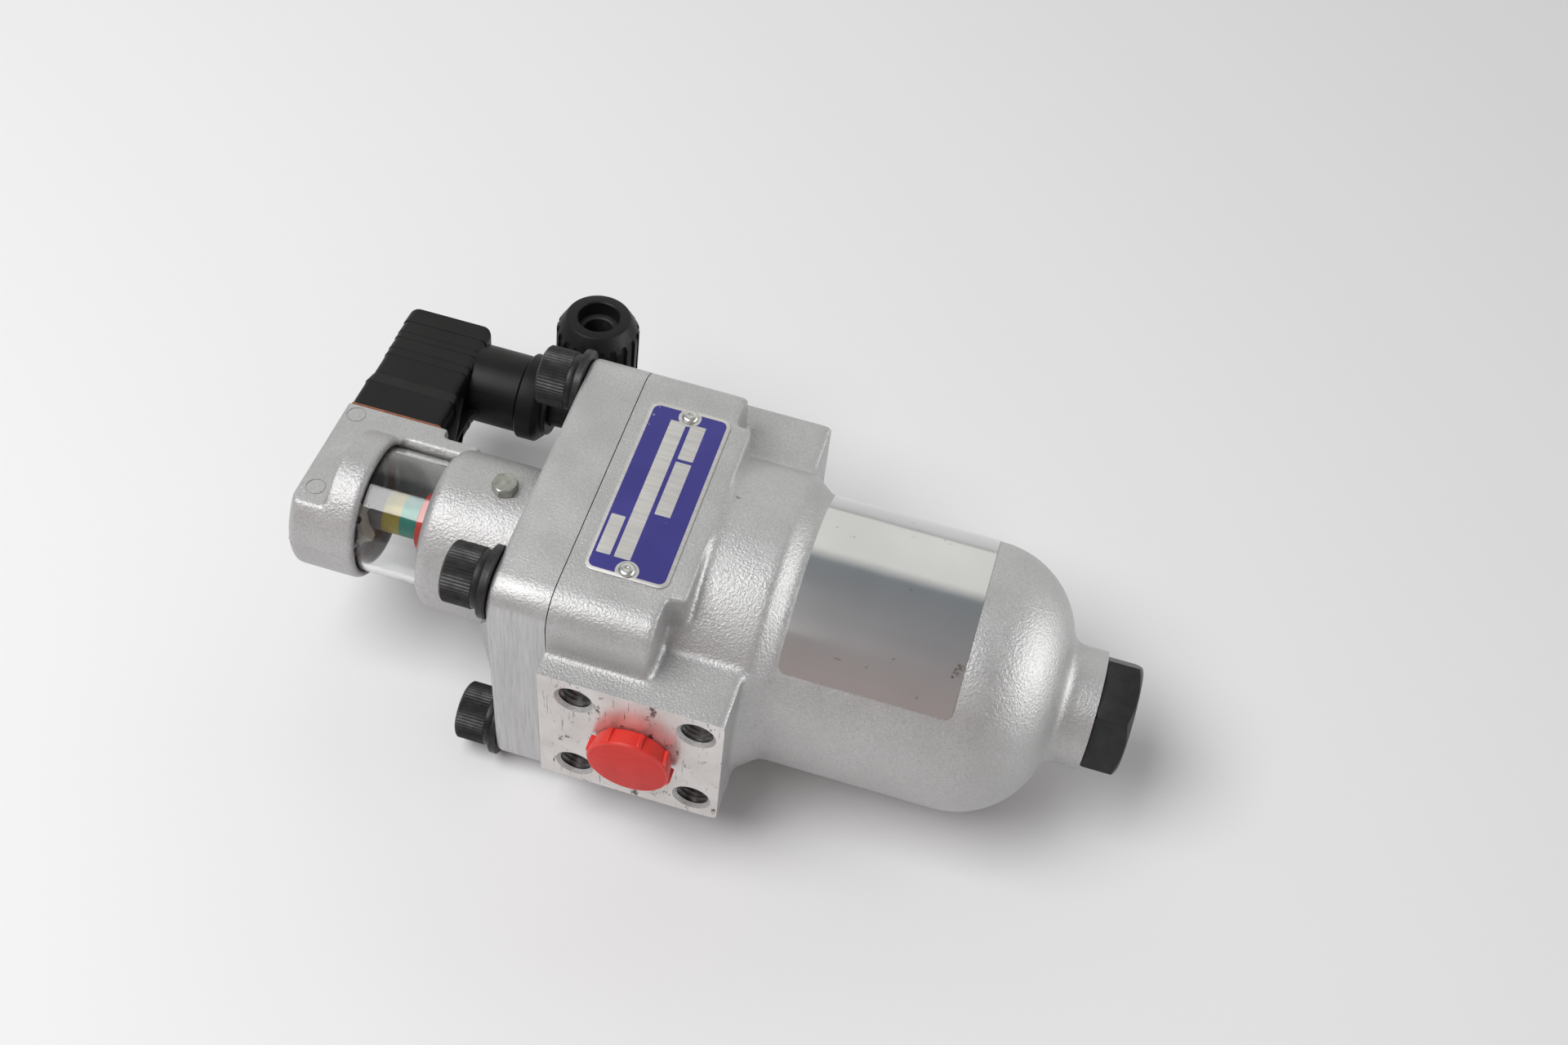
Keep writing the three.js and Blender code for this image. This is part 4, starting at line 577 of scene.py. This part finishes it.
# Bowl label
# A silver foil sticker wrapped round the bowl. Its printed notes are left out, so the foil is bare,
# with a few scuffs, and it mirrors what stands round it. It is cut to its outline lying flat at the
# world's origin, then bent round the bowl.
foil = new_finish("label_foil", 0.11, 0.9)
foil_scuffs = ramp(foil, noise(foil, 150, 6, rough=0.75), (0.64, 0.0), (0.68, 1.0))
foil_tone = ramp(foil, noise(foil, 30, 2), (0.35, (0.66, 0.66, 0.655)), (0.65, (0.72, 0.72, 0.715)))
shaded(foil, Base_Color=mixed(foil, foil_scuffs, foil_tone, (0.32, 0.27, 0.2)))
raised(foil, noise(foil, 60, 3), 0.05)
label_front, label_back, label_radius, label_half, label_middle = 52.5, -95.0, 41.15, 25.35, 88.15
arc_length = radians(label_front - label_back) * label_radius
label = added(
    "bowl_label_foil", bpy.ops.mesh.primitive_grid_add, x_subdivisions=10, y_subdivisions=120, size=1,
    location=(0, 0, 0))
bpy.ops.transform.resize(value=(52 * mm, (arc_length + 2) * mm, 1))
bpy.ops.object.transform_apply(location=True, rotation=True, scale=True)
modified(label, "SOLIDIFY", thickness=0.18 * mm, offset=1)
label_outline = boxed(
    "label_outline", -joint_x - label_half, -joint_x + label_half, -arc_length / 2, arc_length / 2, -1, 1)
round_edges(label_outline, 2.5, 6, along_axis(2))
combined(label, label_outline, "INTERSECT")
for vertex in label.data.vertices:
    turn = radians((label_front + label_back) / 2) - vertex.co.y / (label_radius * mm)
    x = vertex.co.x + place(label_middle, 0, 0).x
    reach = label_radius * mm + vertex.co.z
    vertex.co = (x, -sin(turn) * reach, cos(turn) * reach)
finished(label, foil, 30)
kept(label, "filter_body", "foil_label", "bowl_label")

# Drain plug
# A black hexagon plug, 32 mm across flats, with a turned chamfer and a seal ring under its head. Its
# thread is a plain shank.
plug_black = toned(
    "plug_black_paint", 0.45, 0.1, (300, 5), (0.4, (0.008, 0.008, 0.0085)), (0.8, (0.018, 0.018, 0.018)))
raised(plug_black, noise(plug_black, 800, 3), 0.04)
plug = prism("drain_plug_turned", 153.3, 164, 16 / cos(pi / 6), 6)
plug.data.transform(Matrix.Rotation(radians(8), 4, "X"))
combined(plug, turned("plug_envelope", [
    (153.3, 0), (153.3, 17.9), (153.9, 18.6), (162.3, 18.6), (164, 15.4), (164, 0)], 144), "INTERSECT")
combined(plug, turned("plug_shank", [
    (139, 0), (139, 9.4), (140, 10.2), (153.8, 10.2), (153.8, 0)], 64), "UNION")
softened(plug, 0.25, 28)
finished(plug, plug_black, 25)
kept(plug, "drain", "black_steel", "drain_plug")

# Seals and filter element
# Black nitrile rings, and the element inside the bowl: plated end caps and core tube, folded media
# of glass fibre paper, and the spring that presses the element on its seat.
nitrile = toned("nitrile_rubber", 0.6, 0.0, (500, 3), (0.3, (0.012, 0.012, 0.012)), (0.7, (0.03, 0.03, 0.03)))
dressed(nitrile, "cover_o_ring", "drain_plug_o_ring", "element_o_ring")
plated = toned("plated_steel", 0.35, 0.85, (200, 4), (0.3, (0.46, 0.46, 0.48)), (0.7, (0.6, 0.6, 0.62)))
raised(plated, noise(plated, 700, 2), 0.02)
dressed(
    plated, "element_upper_cap", "element_core_tube", "element_lower_cap", "element_spring",
    "indicator_magnet", "indicator_core", "lever_pin")
media_paper = toned(
    "glass_fibre_paper", 0.9, 0.0, (900, 4), (0.3, (0.72, 0.68, 0.55)), (0.7, (0.86, 0.82, 0.7)))
raised(media_paper, noise(media_paper, 1400, 3), 0.1)
dressed(media_paper, "element_media")

# Indicator housing
# A die-cast C frame in silver paint. Its neck turns on the core, its head carries the connector's
# flange, and a bridge at the back joins the two round the glass. A faint seam runs round its middle.
indicator_tilt = Matrix.Rotation(radians(-5.5), 4, "X")


def left_turned(name, profile, steps=96, centre=(0, 0, 0)):
    """A profile turned about X, with its lengths given as distances to the left of the joint."""
    return turned(name, [(-a, r) for a, r in profile], steps, "X", centre)


def left_box(name, near, far, y0, y1, z0, z1):
    """A box whose limits along X are distances to the left of the joint."""
    return boxed(name, -far, -near, y0, y1, z0, z1)


def tilted(piece):
    """Turns a piece of the indicator with the housing, about the filter's axis."""
    piece.data.transform(indicator_tilt)
    return piece


neck_radius, rim_bend, rim_along, rim_end = 25.0, 4.0, 48.1, 52.1
head_radius, head_half, head_end, wall_y = 22.5, 14.5, 93, 22.4
housing = left_turned("indicator_housing_cast", [
    (16, 0), (16, neck_radius), *arc(rim_along, neck_radius - rim_bend, rim_bend, 90, 0, 8), (rim_end, 0)])
head_blank = left_turned("head", [
    (71.5, 0), (71.5, 21), (73, head_radius), (91.2, head_radius), (head_end, 20.7), (head_end, 0)])
collar_limits = left_box("limits", 60, 82.3, -30, 30, -30, 30)
combined(collar_limits, left_box("flat", 80, 100, -30, 30, -head_half, head_half), "UNION")
combined(head_blank, collar_limits, "INTERSECT")
combined(housing, head_blank, "UNION")
flange = left_box("flange", 60, head_end, 0, 28, -head_half, head_half)
round_edges(flange, 1.5, 3, along_axis(2, lambda a, b: min(a.y, b.y) < 0))
combined(housing, flange, "UNION")
combined(housing, left_box("bridge", rim_along, 60.2, 0, wall_y, -head_half, head_half), "UNION")
for side in (-1, 1):
    bevel_corners = [(-51, y, side * z) for y, z in ((18, 15), (16, 11.6), (12, 11.6), (12, 15))]
    combined(housing, pushed("bridge_bevel", bevel_corners, (-20, 0, 0)))
glass_room = -10, -76.5, 20.1
combined(housing, rod("glass_room", *glass_room))
melted(housing, 0.65, 8)

# The seam, then what is machined after casting
seam_height, seam_half, seam_radius = 0.12, 0.16 * mm, head_radius + 0.1
seam = left_turned("seam", [
    (18.2, 22), (18.2, neck_radius + seam_height),
    *arc(rim_along, neck_radius - rim_bend, rim_bend + seam_height, 90, 0, 8), (52.22, 21), (47.5, 21)])
seam_head = left_turned("seam_head", [
    (72.2, 20.4), (72.2, 21.9), (73.6, seam_radius), (91.2, seam_radius), (93.08, 20.6), (93.08, 16)])
for strip in (seam, seam_head):
    sliced(strip, (0, 0, seam_half), (0, 0, 1))
    sliced(strip, (0, 0, -seam_half), (0, 0, -1))
    sliced(strip, (0, 0, 0), (0, 1, 0))
    combined(housing, strip, "UNION")
combined(housing, rod("glass_bore", *glass_room))
switch_room = rod("switch_room", -71, -89, 16)
combined(switch_room, left_box("limits", 60, 95, -30, 30, -11.5, 11.5), "INTERSECT")
combined(housing, switch_room)
combined(housing, left_box("wire_way", 79, 87, 0, 27, -5, 5))
combined(housing, left_box("pin_window", 66.2, 88.6, wall_y, 30, -10.8, 10.8))
lock_centre = (-31.4, 0, 0)
combined(housing, rod("screw_hole", 15, 30, 2.3, 32, "Z", lock_centre))
for x, y in ((-88.6, 21.6), (-87.7, -10.3)):
    combined(housing, turned("ejector_ring", [
        (14.25, 2.75), (14.25, 3.05), (15, 3.3), (15, 2.5)], 48, "Z", (x, y, 0)))
combined(housing, boxed("neck_end", -18.3, -10, -30, 30, -30, 30))
sliced(housing, place(0, 25.5, 0), (0, 1, 0))
housing_silver = silver_paint("housing_silver", 1200, 0.22, (0.58, 0.575, 0.57), (0.5, 0.495, 0.49))
finished(housing, housing_silver, 30)
kept(tilted(housing), "indicator_head", "cast_aluminium", "indicator_housing")
lock_low, lock_high, lock_flats = 25.1, 28.1, 7
lock_screw = rod("lock_screw_hex", lock_low, lock_high, lock_flats / sqrt(3), 6, "Z")
lock_screw.data.transform(Matrix.Rotation(radians(20), 4, "Z") @ Matrix.Translation(-place(0, 0, 0)))
lock_screw.data.transform(Matrix.Translation(place(*lock_centre)))
combined(lock_screw, turned("lock_envelope", [
    (lock_low, 0), (lock_low, 3.75), (25.35, 4.05), (27.75, 4.05), (28.08, 3.6), (lock_high, 3.5),
    (lock_high, 0)], 64, "Z", lock_centre), "INTERSECT")
combined(lock_screw, turned(
    "lock_shank", [(17.7, 0), (17.7, 1.6), (18.1, 2), (25.4, 2), (25.4, 0)], 32, "Z", lock_centre), "UNION")
softened(lock_screw, 0.12, 28)
worn_zinc = toned("worn_zinc", 0.34, 0.75, (420, 4), (0.35, (0.3, 0.3, 0.26)), (0.7, (0.47, 0.48, 0.43)))
finished(lock_screw, worn_zinc, 25)
kept(tilted(lock_screw), "indicator_head", "bright_metal", "housing_screw")

# Glass and its seals
# A clear polished glass tube between two flat brown seals, held in the housing's counterbores. The
# connector's gasket is the same brown fibre.
clear_glass = new_finish("clear_glass_tube", 0.03)
glass_haze = ramp(clear_glass, noise(clear_glass, 70, 4), (0.4, 0.01), (0.75, 0.09))
shaded(clear_glass, Base_Color=(0.97, 0.98, 0.975), Roughness=glass_haze, Transmission_Weight=1.0, IOR=1.5)
glass = left_turned("indicator_glass_tube", [
    (46.9, 18.0), (46.9, 19.6), (47.1, 19.8), (74.2, 19.8), (74.4, 19.6), (74.4, 18.0), (74.2, 17.8),
    (47.1, 17.8)], 128)
finished(glass, clear_glass, 40)
kept(tilted(glass), "filter_body", "clear_glass", "indicator_glass")
brown_seal = toned("brown_fibre", 0.7, 0.0, (700, 4), (0.3, (0.2, 0.07, 0.035)), (0.7, (0.32, 0.12, 0.06)))
raised(brown_seal, noise(brown_seal, 1200, 3), 0.05)
for name, near in (("glass_seal_cover_end", 44.8), ("glass_seal_head_end", 74.5)):
    seal = left_turned(name + "_ring", [
        (near, 17.7), (near, 19.3), (near + 0.2, 19.5), (near + 1.6, 19.5), (near + 1.8, 19.3),
        (near + 1.8, 17.7), (near + 1.6, 17.5), (near + 0.2, 17.5)])
    finished(seal, brown_seal, 40)
    kept(tilted(seal), "filter_body", "brown_seal", name)
gasket_half = 14.45
gasket = left_box("connector_gasket_sheet", 62.4, 92.5, 25.6, 26.45, -gasket_half, gasket_half)
round_edges(gasket, 1.2, 4, along_axis(1))
combined(gasket, left_box("window", 66.2, 88.6, 20, 30, -10.5, 10.5))
finished(gasket, brown_seal, 30)
kept(tilted(gasket), "connector", "brown_seal", "connector_gasket")

# Pressure tube and sliding ring
# The tube is painted grey with a yellow and a green band. A red ring slides on it, drawn along by the
# magnet on the piston inside, and shows how far the element is clogged. The piston's spring is bent
# from a straight bar.


def tube_paint(name, dark, light):
    """A satin paint with faint turning marks."""
    paint = toned(name, 0.4, 0.2, (150, 4, (1, 4, 4)), (0.3, dark), (0.7, light))
    raised(paint, noise(paint, 500, 2, (6, 1, 1)), 0.02)
    return paint


tube_grey = tube_paint("tube_grey_paint", (0.2, 0.19, 0.195), (0.26, 0.25, 0.255))
tube_green = tube_paint("tube_green_paint", (0.01, 0.25, 0.19), (0.02, 0.33, 0.25))
tube_yellow = tube_paint("tube_yellow_paint", (0.4, 0.32, 0.035), (0.5, 0.41, 0.06))
green_start, yellow_start, yellow_end, tube_radius, tube_bore = 58, 63.4, 69, 6.5, 5.2
tube = left_turned("indicator_tube_painted", [
    (30, tube_bore), (30, tube_radius), (green_start, tube_radius), (yellow_start, tube_radius),
    (yellow_end, tube_radius), (83.4, tube_radius), (84, 5.9), (84, 0), (82.7, 0), (82.7, tube_bore)])
finished(tube, tube_grey, 35, tube_green, tube_yellow)
for face in tube.data.polygons:
    along = joint_x - face.center.x / mm
    if hypot(face.center.y, face.center.z) > (tube_radius - 0.2) * mm and green_start < along < yellow_end:
        face.material_index = 1 if along < yellow_start else 2
kept(tilted(tube), "filter_body", "banded_tube", "indicator_tube")
ring = left_turned("indicator_ring_moulded", [
    (52.7, 7.0), (52.7, 8.6), (53.1, 9), (57.1, 9), (57.5, 8.6), (57.5, 7.0), (57.3, 6.8), (52.9, 6.8)])
finished(ring, red_moulding, 40)
kept(tilted(ring), "red_ring", "red_plastic", "indicator_ring")
spring_near, spring_far, piston_travel = 57.8, 82.4, 11.4
spring_wire, spring_radius, spring_turns, spring_steps = 0.9, 3.6, 6, 192
spring = turned("piston_spring_wound", [
    (0, 0), *[(step, spring_wire / 2) for step in range(spring_steps + 1)], (spring_steps, 0)], 10)
for vertex in spring.data.vertices:
    share = (vertex.co.x / mm - joint_x) / spring_steps
    reach, winding = spring_radius * mm + vertex.co.y, 2 * pi * spring_turns * share
    along = -spring_far + spring_wire / 2 + share * (spring_far - spring_near - spring_wire)
    vertex.co = (place(along, 0, 0).x - vertex.co.z, reach * cos(winding), reach * sin(winding))
finished(spring, plated, 40)
kept(spring, "filter_body", "plated_steel", "indicator_spring")
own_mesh(spring)
brass = toned(
    "turned_brass", 0.3, 0.95, (200, 3, (8, 1, 1)), (0.3, (0.55, 0.4, 0.14)), (0.7, (0.72, 0.55, 0.24)))
dressed(brass, "indicator_piston")

# Switch in the head
# A black plate closes the head behind the glass. It carries a small brown switch, and a white lever
# that the ring pushes at the end of its way.
switch_black = toned(
    "switch_black_moulding", 0.5, 0.0, (300, 4), (0.35, (0.018, 0.016, 0.015)), (0.7, (0.035, 0.03, 0.028)))
raised(switch_black, noise(switch_black, 900, 3), 0.04)
plate_disc = left_turned("switch_plate_moulded", [
    (77.6, 6.8), (77.6, 15.5), (77.8, 15.7), (79, 15.7), (79, 6.8)])
combined(plate_disc, left_box("limits", 70, 90, -30, 30, -11.2, 11.2), "INTERSECT")
lever_axis_x, lever_axis_z = -73.75, 7.5
hub_centre, plate_screw_centre = (lever_axis_x, 0, lever_axis_z), (0, -9.6, -8.8)
for low, high in ((-12.9, -12.1), (-6.9, -6.1)):
    ear = left_box("ear", 72.55, 77.9, low, high, lever_axis_z - 1.2, lever_axis_z + 1.2)
    round_edges(ear, 0.9, 4, along_axis(1, lambda a, b: a.x > place(-73, 0, 0).x))
    combined(plate_disc, ear, "UNION")
combined(plate_disc, rod("pin_hole", -20, 0, 1, 24, "Y", hub_centre))
combined(plate_disc, rod("screw_hole", -70, -85, 1.2, 24, "X", plate_screw_centre))
finished(plate_disc, switch_black, 35)
kept(tilted(plate_disc), "indicator_head", "black_plastic", "switch_plate")
switch_brown = toned(
    "brown_phenolic", 0.5, 0.0, (250, 4), (0.3, (0.09, 0.05, 0.025)), (0.7, (0.14, 0.08, 0.04)))
dressed(switch_brown, "switch_body")
white_moulding = toned(
    "white_lever_moulding", 0.4, 0.0, (300, 3), (0.3, (0.62, 0.58, 0.5)), (0.7, (0.72, 0.68, 0.6)))
blade_points = [
    (7.5, -73.2), (7.5, -74.3), (-5.5, -74.3), (-5.5, -73.6), (-3, -72.4), (-1.5, -69.8), (0.3, -72.4)]
lever = pushed("switch_lever_moulded", [(x, -11.8, z) for z, x in blade_points], (0, 4.6, 0))
for vertex in lever.data.vertices:
    if vertex.co.z < 0 and vertex.co.y > -9 * mm:
        vertex.co.y -= 2 * mm
combined(lever, rod("hub", -11.8, -7.2, 1.55, 32, "Y", hub_centre), "UNION")
combined(lever, rod("hub_hole", -15, -5, 1, 24, "Y", hub_centre))
softened(lever, 0.15, 40)
finished(lever, white_moulding, 35)
kept(tilted(lever), "lever", "white_plastic", "switch_lever")
plate_screw = left_turned("switch_screw_turned", [
    (75.9, 0), (75.9, 0.9), (76.1, 1.5), (76.6, 1.9), (77.3, 2), (77.5, 2), (77.5, 0.9), (80.9, 0.9),
    (80.9, 0)], 40, plate_screw_centre)
combined(plate_screw, left_box("slot", 70, 76.6, -12, -7, -9.1, -8.5))
finished(plate_screw, bright_steel, 35)
kept(tilted(plate_screw), "indicator_head", "bright_metal", "switch_screw")

# Connector
# A black moulded plug with a wider foot, soft corners and grip grooves, and a stub for the cable
# gland at its side. Three thin ribs stiffen the stub from below, and one long screw holds the plug.
black_polyamide = toned(
    "black_polyamide", 0.4, 0.0, (90, 4), (0.3, (0.009, 0.009, 0.0092)), (0.7, (0.013, 0.0125, 0.0125)))
polyamide_sheen = ramp(black_polyamide, noise(black_polyamide, 60, 3), (0.3, 0.34), (0.7, 0.48))
shaded(black_polyamide, Roughness=polyamide_sheen, Specular_IOR_Level=0.2)
raised(black_polyamide, noise(black_polyamide, 2200, 2), 0.018)
plug_left, plug_right, foot_y, end_y, wide_z = 92.2, 62.6, 26.5, 74.5, 14.1


def plug_layer(low, high, near, far, bend, shift):
    """A slab of the plug with soft long edges, inset by (x, z) at its lower and upper end."""
    slab = left_box(
        "layer", plug_right + near[0] + shift, plug_left - near[0] + shift, low, high,
        near[1] - wide_z, wide_z - near[1])
    middle = place(-(plug_left + plug_right) / 2 - shift, 0, 0).x
    for vertex in slab.data.vertices:
        if vertex.co.y > (high - 0.01) * mm:
            vertex.co.x += copysign((far[0] - near[0]) * mm, middle - vertex.co.x)
            vertex.co.z -= copysign((far[1] - near[1]) * mm, vertex.co.z)
    return round_edges(slab, bend, 6, lambda a, b: abs((b - a).normalized()[1]) > 0.9)


connector = plug_layer(foot_y, 37.7, (-0.2, 0), (-0.35, 0), 2.2, 0.3)
connector.name = "connector_moulded"
combined(connector, plug_layer(37.7, 41.8, (-0.35, 0), (0.2, 0.6), 2.2, 0.3), "UNION")
grip_steps = [(36, 51.6, 0.6, 0.72), (51.6, 55, 0.5, 0.68), (55, 60.1, 0.45, 0.66), (60.1, 62.9, 0.4, 0.58),
              (62.9, 67.9, 0.35, 0.58)]
for low, high, near, far in grip_steps:
    layer = plug_layer(low, high + 0.3, (near, 0.75 + near / 4), (far, 0.7 + far / 3), 2.4, 0.7)
    combined(connector, layer, "UNION")
crown = plug_layer(67.9, end_y, (0.25, 0.8), (0.45, 0.9), 2.4, 0.7)
crown_outline = left_box("crown_outline", plug_right + 0.9, plug_left + 0.5, 60, end_y, -wide_z, wide_z)
round_edges(crown_outline, 4, 8, along_axis(2, lambda a, b: min(a.y, b.y) > 70 * mm))
round_edges(crown_outline, 1.2, 3, lambda a, b: abs(a.z - b.z) < 0.01 * mm and min(a.y, b.y) > 70.2 * mm)
combined(crown, crown_outline, "INTERSECT")
combined(connector, crown, "UNION")
gland_y, stub_end = 62.3, 48
gland_centre, long_screw_centre = (0, gland_y, 0), (-77.4, 0, 0)
combined(connector, rod("stub", -stub_end, -70, 12.75, 96, "X", gland_centre), "UNION")
narrow_rib = ((-66, 26.6), (-59.1, 26.6), (-59.4, 30), (-63.2, 46), (-66, 50))
wide_rib = ((-66, 26.6), (-61, 26.6), (-61.3, 36), (-61.1, 46), (-59.3, 50), (-66, 52))
for corners, low in ((narrow_rib, 6.4), (wide_rib, -0.8), (narrow_rib, -7.6)):
    combined(connector, pushed("rib", [(x, y, low) for x, y in corners], (0, 0, 1.2)), "UNION")
combined(connector, left_box("room", 64.8, 90, 20, 71.1, -11, 11))
combined(connector, rod("stub_bore", -40, -80, 9, 64, "X", gland_centre))
combined(connector, turned("screw_bore", [
    (60, 0), (60, 1.7), (72.2, 1.7), (72.2, 3.5), (78, 3.5), (78, 0)], 48, "Y", long_screw_centre))
finished(connector, black_polyamide, 32)
kept(tilted(connector), "connector", "black_plastic", "connector_housing")
dressed(black_polyamide, "contact_base", "connector_insert")
dressed(bright_steel, "contact_1", "contact_2", "contact_3", "earth_contact")
long_screw = turned("connector_screw_turned", [
    (23.9, 0), (23.9, 1.1), (24.2, 1.4), (72.5, 1.4), (72.5, 2.9), (72.8, 3.2), (74.1, 3.2), (74.5, 2.8),
    (74.5, 0)], 48, "Y", long_screw_centre)
combined(long_screw, left_box("slot", 70, 86, 73.5, 78, -0.45, 0.45))
finished(long_screw, bright_steel, 35)
kept(tilted(long_screw), "connector", "bright_metal", "connector_screw")

# Cable gland
# A union ring traps the elbow's flange on the stub. The elbow points up and ends in a thread with
# a rubber seal, which the ribbed dome nut squeezes round a cable. No cable is fitted here.
union_ring = left_turned("gland_ring_moulded", [
    (47.4, 7.9), (47.4, 13.7), (47.0, 14.1), (41.9, 14.1), (41.5, 13.95), (39.7, 12.1), (39.5, 11.7),
    (39.5, 11.2), (39.3, 11), (38.1, 11), (37.8, 10.7), (37.8, 7.9)], 128, gland_centre)
finished(union_ring, black_polyamide, 28)
kept(tilted(union_ring), "connector", "black_plastic", "gland_ring")
spout_x, gland_turns, gland_pitch = -24.3, 9, 1.5
spout_centre = (spout_x, gland_y, 0)
elbow = rod("gland_elbow_moulded", spout_x, -50, 7.6, 96, "X", gland_centre)
combined(elbow, turned("spout", [
    (-9, 0), (-9, 6.6), (-8.4, 8), (-7, 8.6), (15, 8.6), (15, 0)], 96, "Z", spout_centre), "UNION")
melted(elbow, 0.45, 4)
sliced(elbow, place(-49, 0, 0), (-1, 0, 0))
combined(elbow, left_turned("elbow_flange", [
    (48.3, 0), (48.3, 8.5), (48.5, 8.7), (56, 8.7), (56, 0)], 96, gland_centre), "UNION")
spout_wall = [(14.5, 0), (14.5, 7.6)]
for turn in range(gland_turns):
    spout_wall += [(15.2 + gland_pitch * turn, 7.5), (15.9 + gland_pitch * turn, 8.2)]
spout_wall += [(28.7, 7.5), (29, 7.2), (29, 0)]
combined(elbow, turned("spout_thread", spout_wall, 96, "Z", spout_centre), "UNION")
cable_bore = 4.6
combined(elbow, rod("neck_bore", spout_x, -60, cable_bore, 64, "X", gland_centre))
combined(elbow, rod("spout_bore", 0, 33, cable_bore, 64, "Z", spout_centre))
finished(elbow, black_polyamide, 30)
kept(tilted(elbow), "elbow", "black_plastic", "gland_elbow")
seal = turned("gland_seal_moulded", [
    (29.3, 4.9), (29.3, 8.0), (29.6, 8.2), (36.4, 8.2), (38.1, 7.2), (38.1, 5.2), (37.6, 4.7), (29.6, 4.7)],
    96, "Z", spout_centre)
finished(seal, nitrile, 30)
kept(tilted(seal), "elbow", "black_rubber", "gland_seal")
nut_radius, nut_grooves = 12.9, 20
dome = turned("dome_nut_moulded", [
    (15.4, 8.5), (15.4, 12.5), (15.8, nut_radius), (37.5, nut_radius), (37.7, 12.85), (42.6, 10.1),
    (42.85, 9.85), (43, 9.5), (43, 6.9), (42.7, 6.55), (38.4, 6.3), (38.4, 8.5)], 160, "Z", spout_centre)
groove_half = 2 * pi * nut_radius / nut_grooves / 4
to_nut = Matrix.Translation(place(*spout_centre))
for number in range(nut_grooves):
    groove = boxed(
        "groove", 12.1 + spout_x, 16 + spout_x, gland_y - groove_half, gland_y + groove_half, 12, 40)
    round_edges(groove, 0.3, 2, along_axis(2, lambda a, b: a.x < place(-11, 0, 0).x))
    turn = Matrix.Rotation(radians(360 / nut_grooves * number + 4.5), 4, "Z")
    groove.data.transform(to_nut @ turn @ to_nut.inverted())
    combined(dome, groove)
finished(dome, black_polyamide, 28)
kept(tilted(dome), "nut", "black_plastic", "dome_nut")

# Floor, light and camera
# The filter lies on its block and its bowl. The bowl is 5 mm less deep, 85 mm further along, so the
# white floor rises by that slope. The studio is bright behind the filter and darker elsewhere, which
# metal and glass show. One lamp hangs above at the left, and one low at the right only adds shine.
floor_rise = atan(5 / 85)
floor = added(
    "floor", bpy.ops.mesh.primitive_plane_add, size=8, location=place(30, 0, -46.05),
    rotation=(0, -floor_rise, 0))
floor_white = new_finish("floor_white", 0.6)
shaded(floor_white, Base_Color=(0.89, 0.89, 0.895), Specular_IOR_Level=0.1)
floor.data.materials.append(floor_white)
world = bpy.data.worlds.new("studio")
bpy.context.scene.world = world
world.use_nodes = True
sky = world.node_tree
direction = sky.nodes.new("ShaderNodeTexCoord")
parts = sky.nodes.new("ShaderNodeSeparateXYZ")
sky.links.new(direction.outputs["Generated"], parts.inputs["Vector"])
place_on_y = sky.nodes.new("ShaderNodeMapRange")
place_on_y.inputs["From Min"].default_value = -1
sky.links.new(parts.outputs["Y"], place_on_y.inputs["Value"])
tones = ramp(
    world, place_on_y.outputs["Result"], (0.0, (0.36, 0.3, 0.29)), (0.3, (0.24, 0.23, 0.24)),
    (0.73, (0.19, 0.21, 0.23)), (0.81, (0.86, 0.86, 0.83)))
seen = sky.nodes.new("ShaderNodeLightPath")
backdrop = mixed(world, seen.outputs["Is Camera Ray"], tones, (0.8, 0.8, 0.81))
sky.links.new(backdrop, sky.nodes["Background"].inputs["Color"])


def soft_box(name, position, tilt, width, height, power):
    """An area lamp, turned about Y by its tilt, that the camera doesn't see."""
    light = bpy.data.lights.new(name, "AREA")
    light.shape = "RECTANGLE"
    light.size, light.size_y = width, height
    light.energy = power
    lamp = bpy.data.objects.new(name, light)
    bpy.context.collection.objects.link(lamp)
    lamp.location = position
    lamp.rotation_euler = (0, radians(tilt), 0)
    lamp.visible_camera = False
    return lamp


soft_box("left", (-0.86, -0.55, 1.55), 0, 1.27, 1.32, 29)
shine = soft_box("right", (1.35, 0.2, 0.45), 84, 0.9, 1.2, 15)
shine.visible_diffuse = False

# The camera's place and directions, fitted to the photo
camera_data = bpy.data.cameras.new("photo_camera")
camera_data.lens = 45.35
camera_data.sensor_width = 36
camera_data.clip_start, camera_data.clip_end = 0.01, 20
camera = bpy.data.objects.new("photo_camera", camera_data)
bpy.context.collection.objects.link(camera)
camera_right = Vector((0.95817, 0.27627, 0.07469))
camera_down = Vector((0.26639, -0.76560, -0.58557))
camera_ahead = Vector((-0.10459, 0.58098, -0.80717))
turn = Matrix((camera_right, -camera_down, -camera_ahead)).transposed().to_4x4()
camera.matrix_world = Matrix.Translation((0.08308, -0.32271, 0.49809)) @ turn
bpy.context.scene.camera = camera
bpy.context.scene.view_settings.view_transform = "Standard"
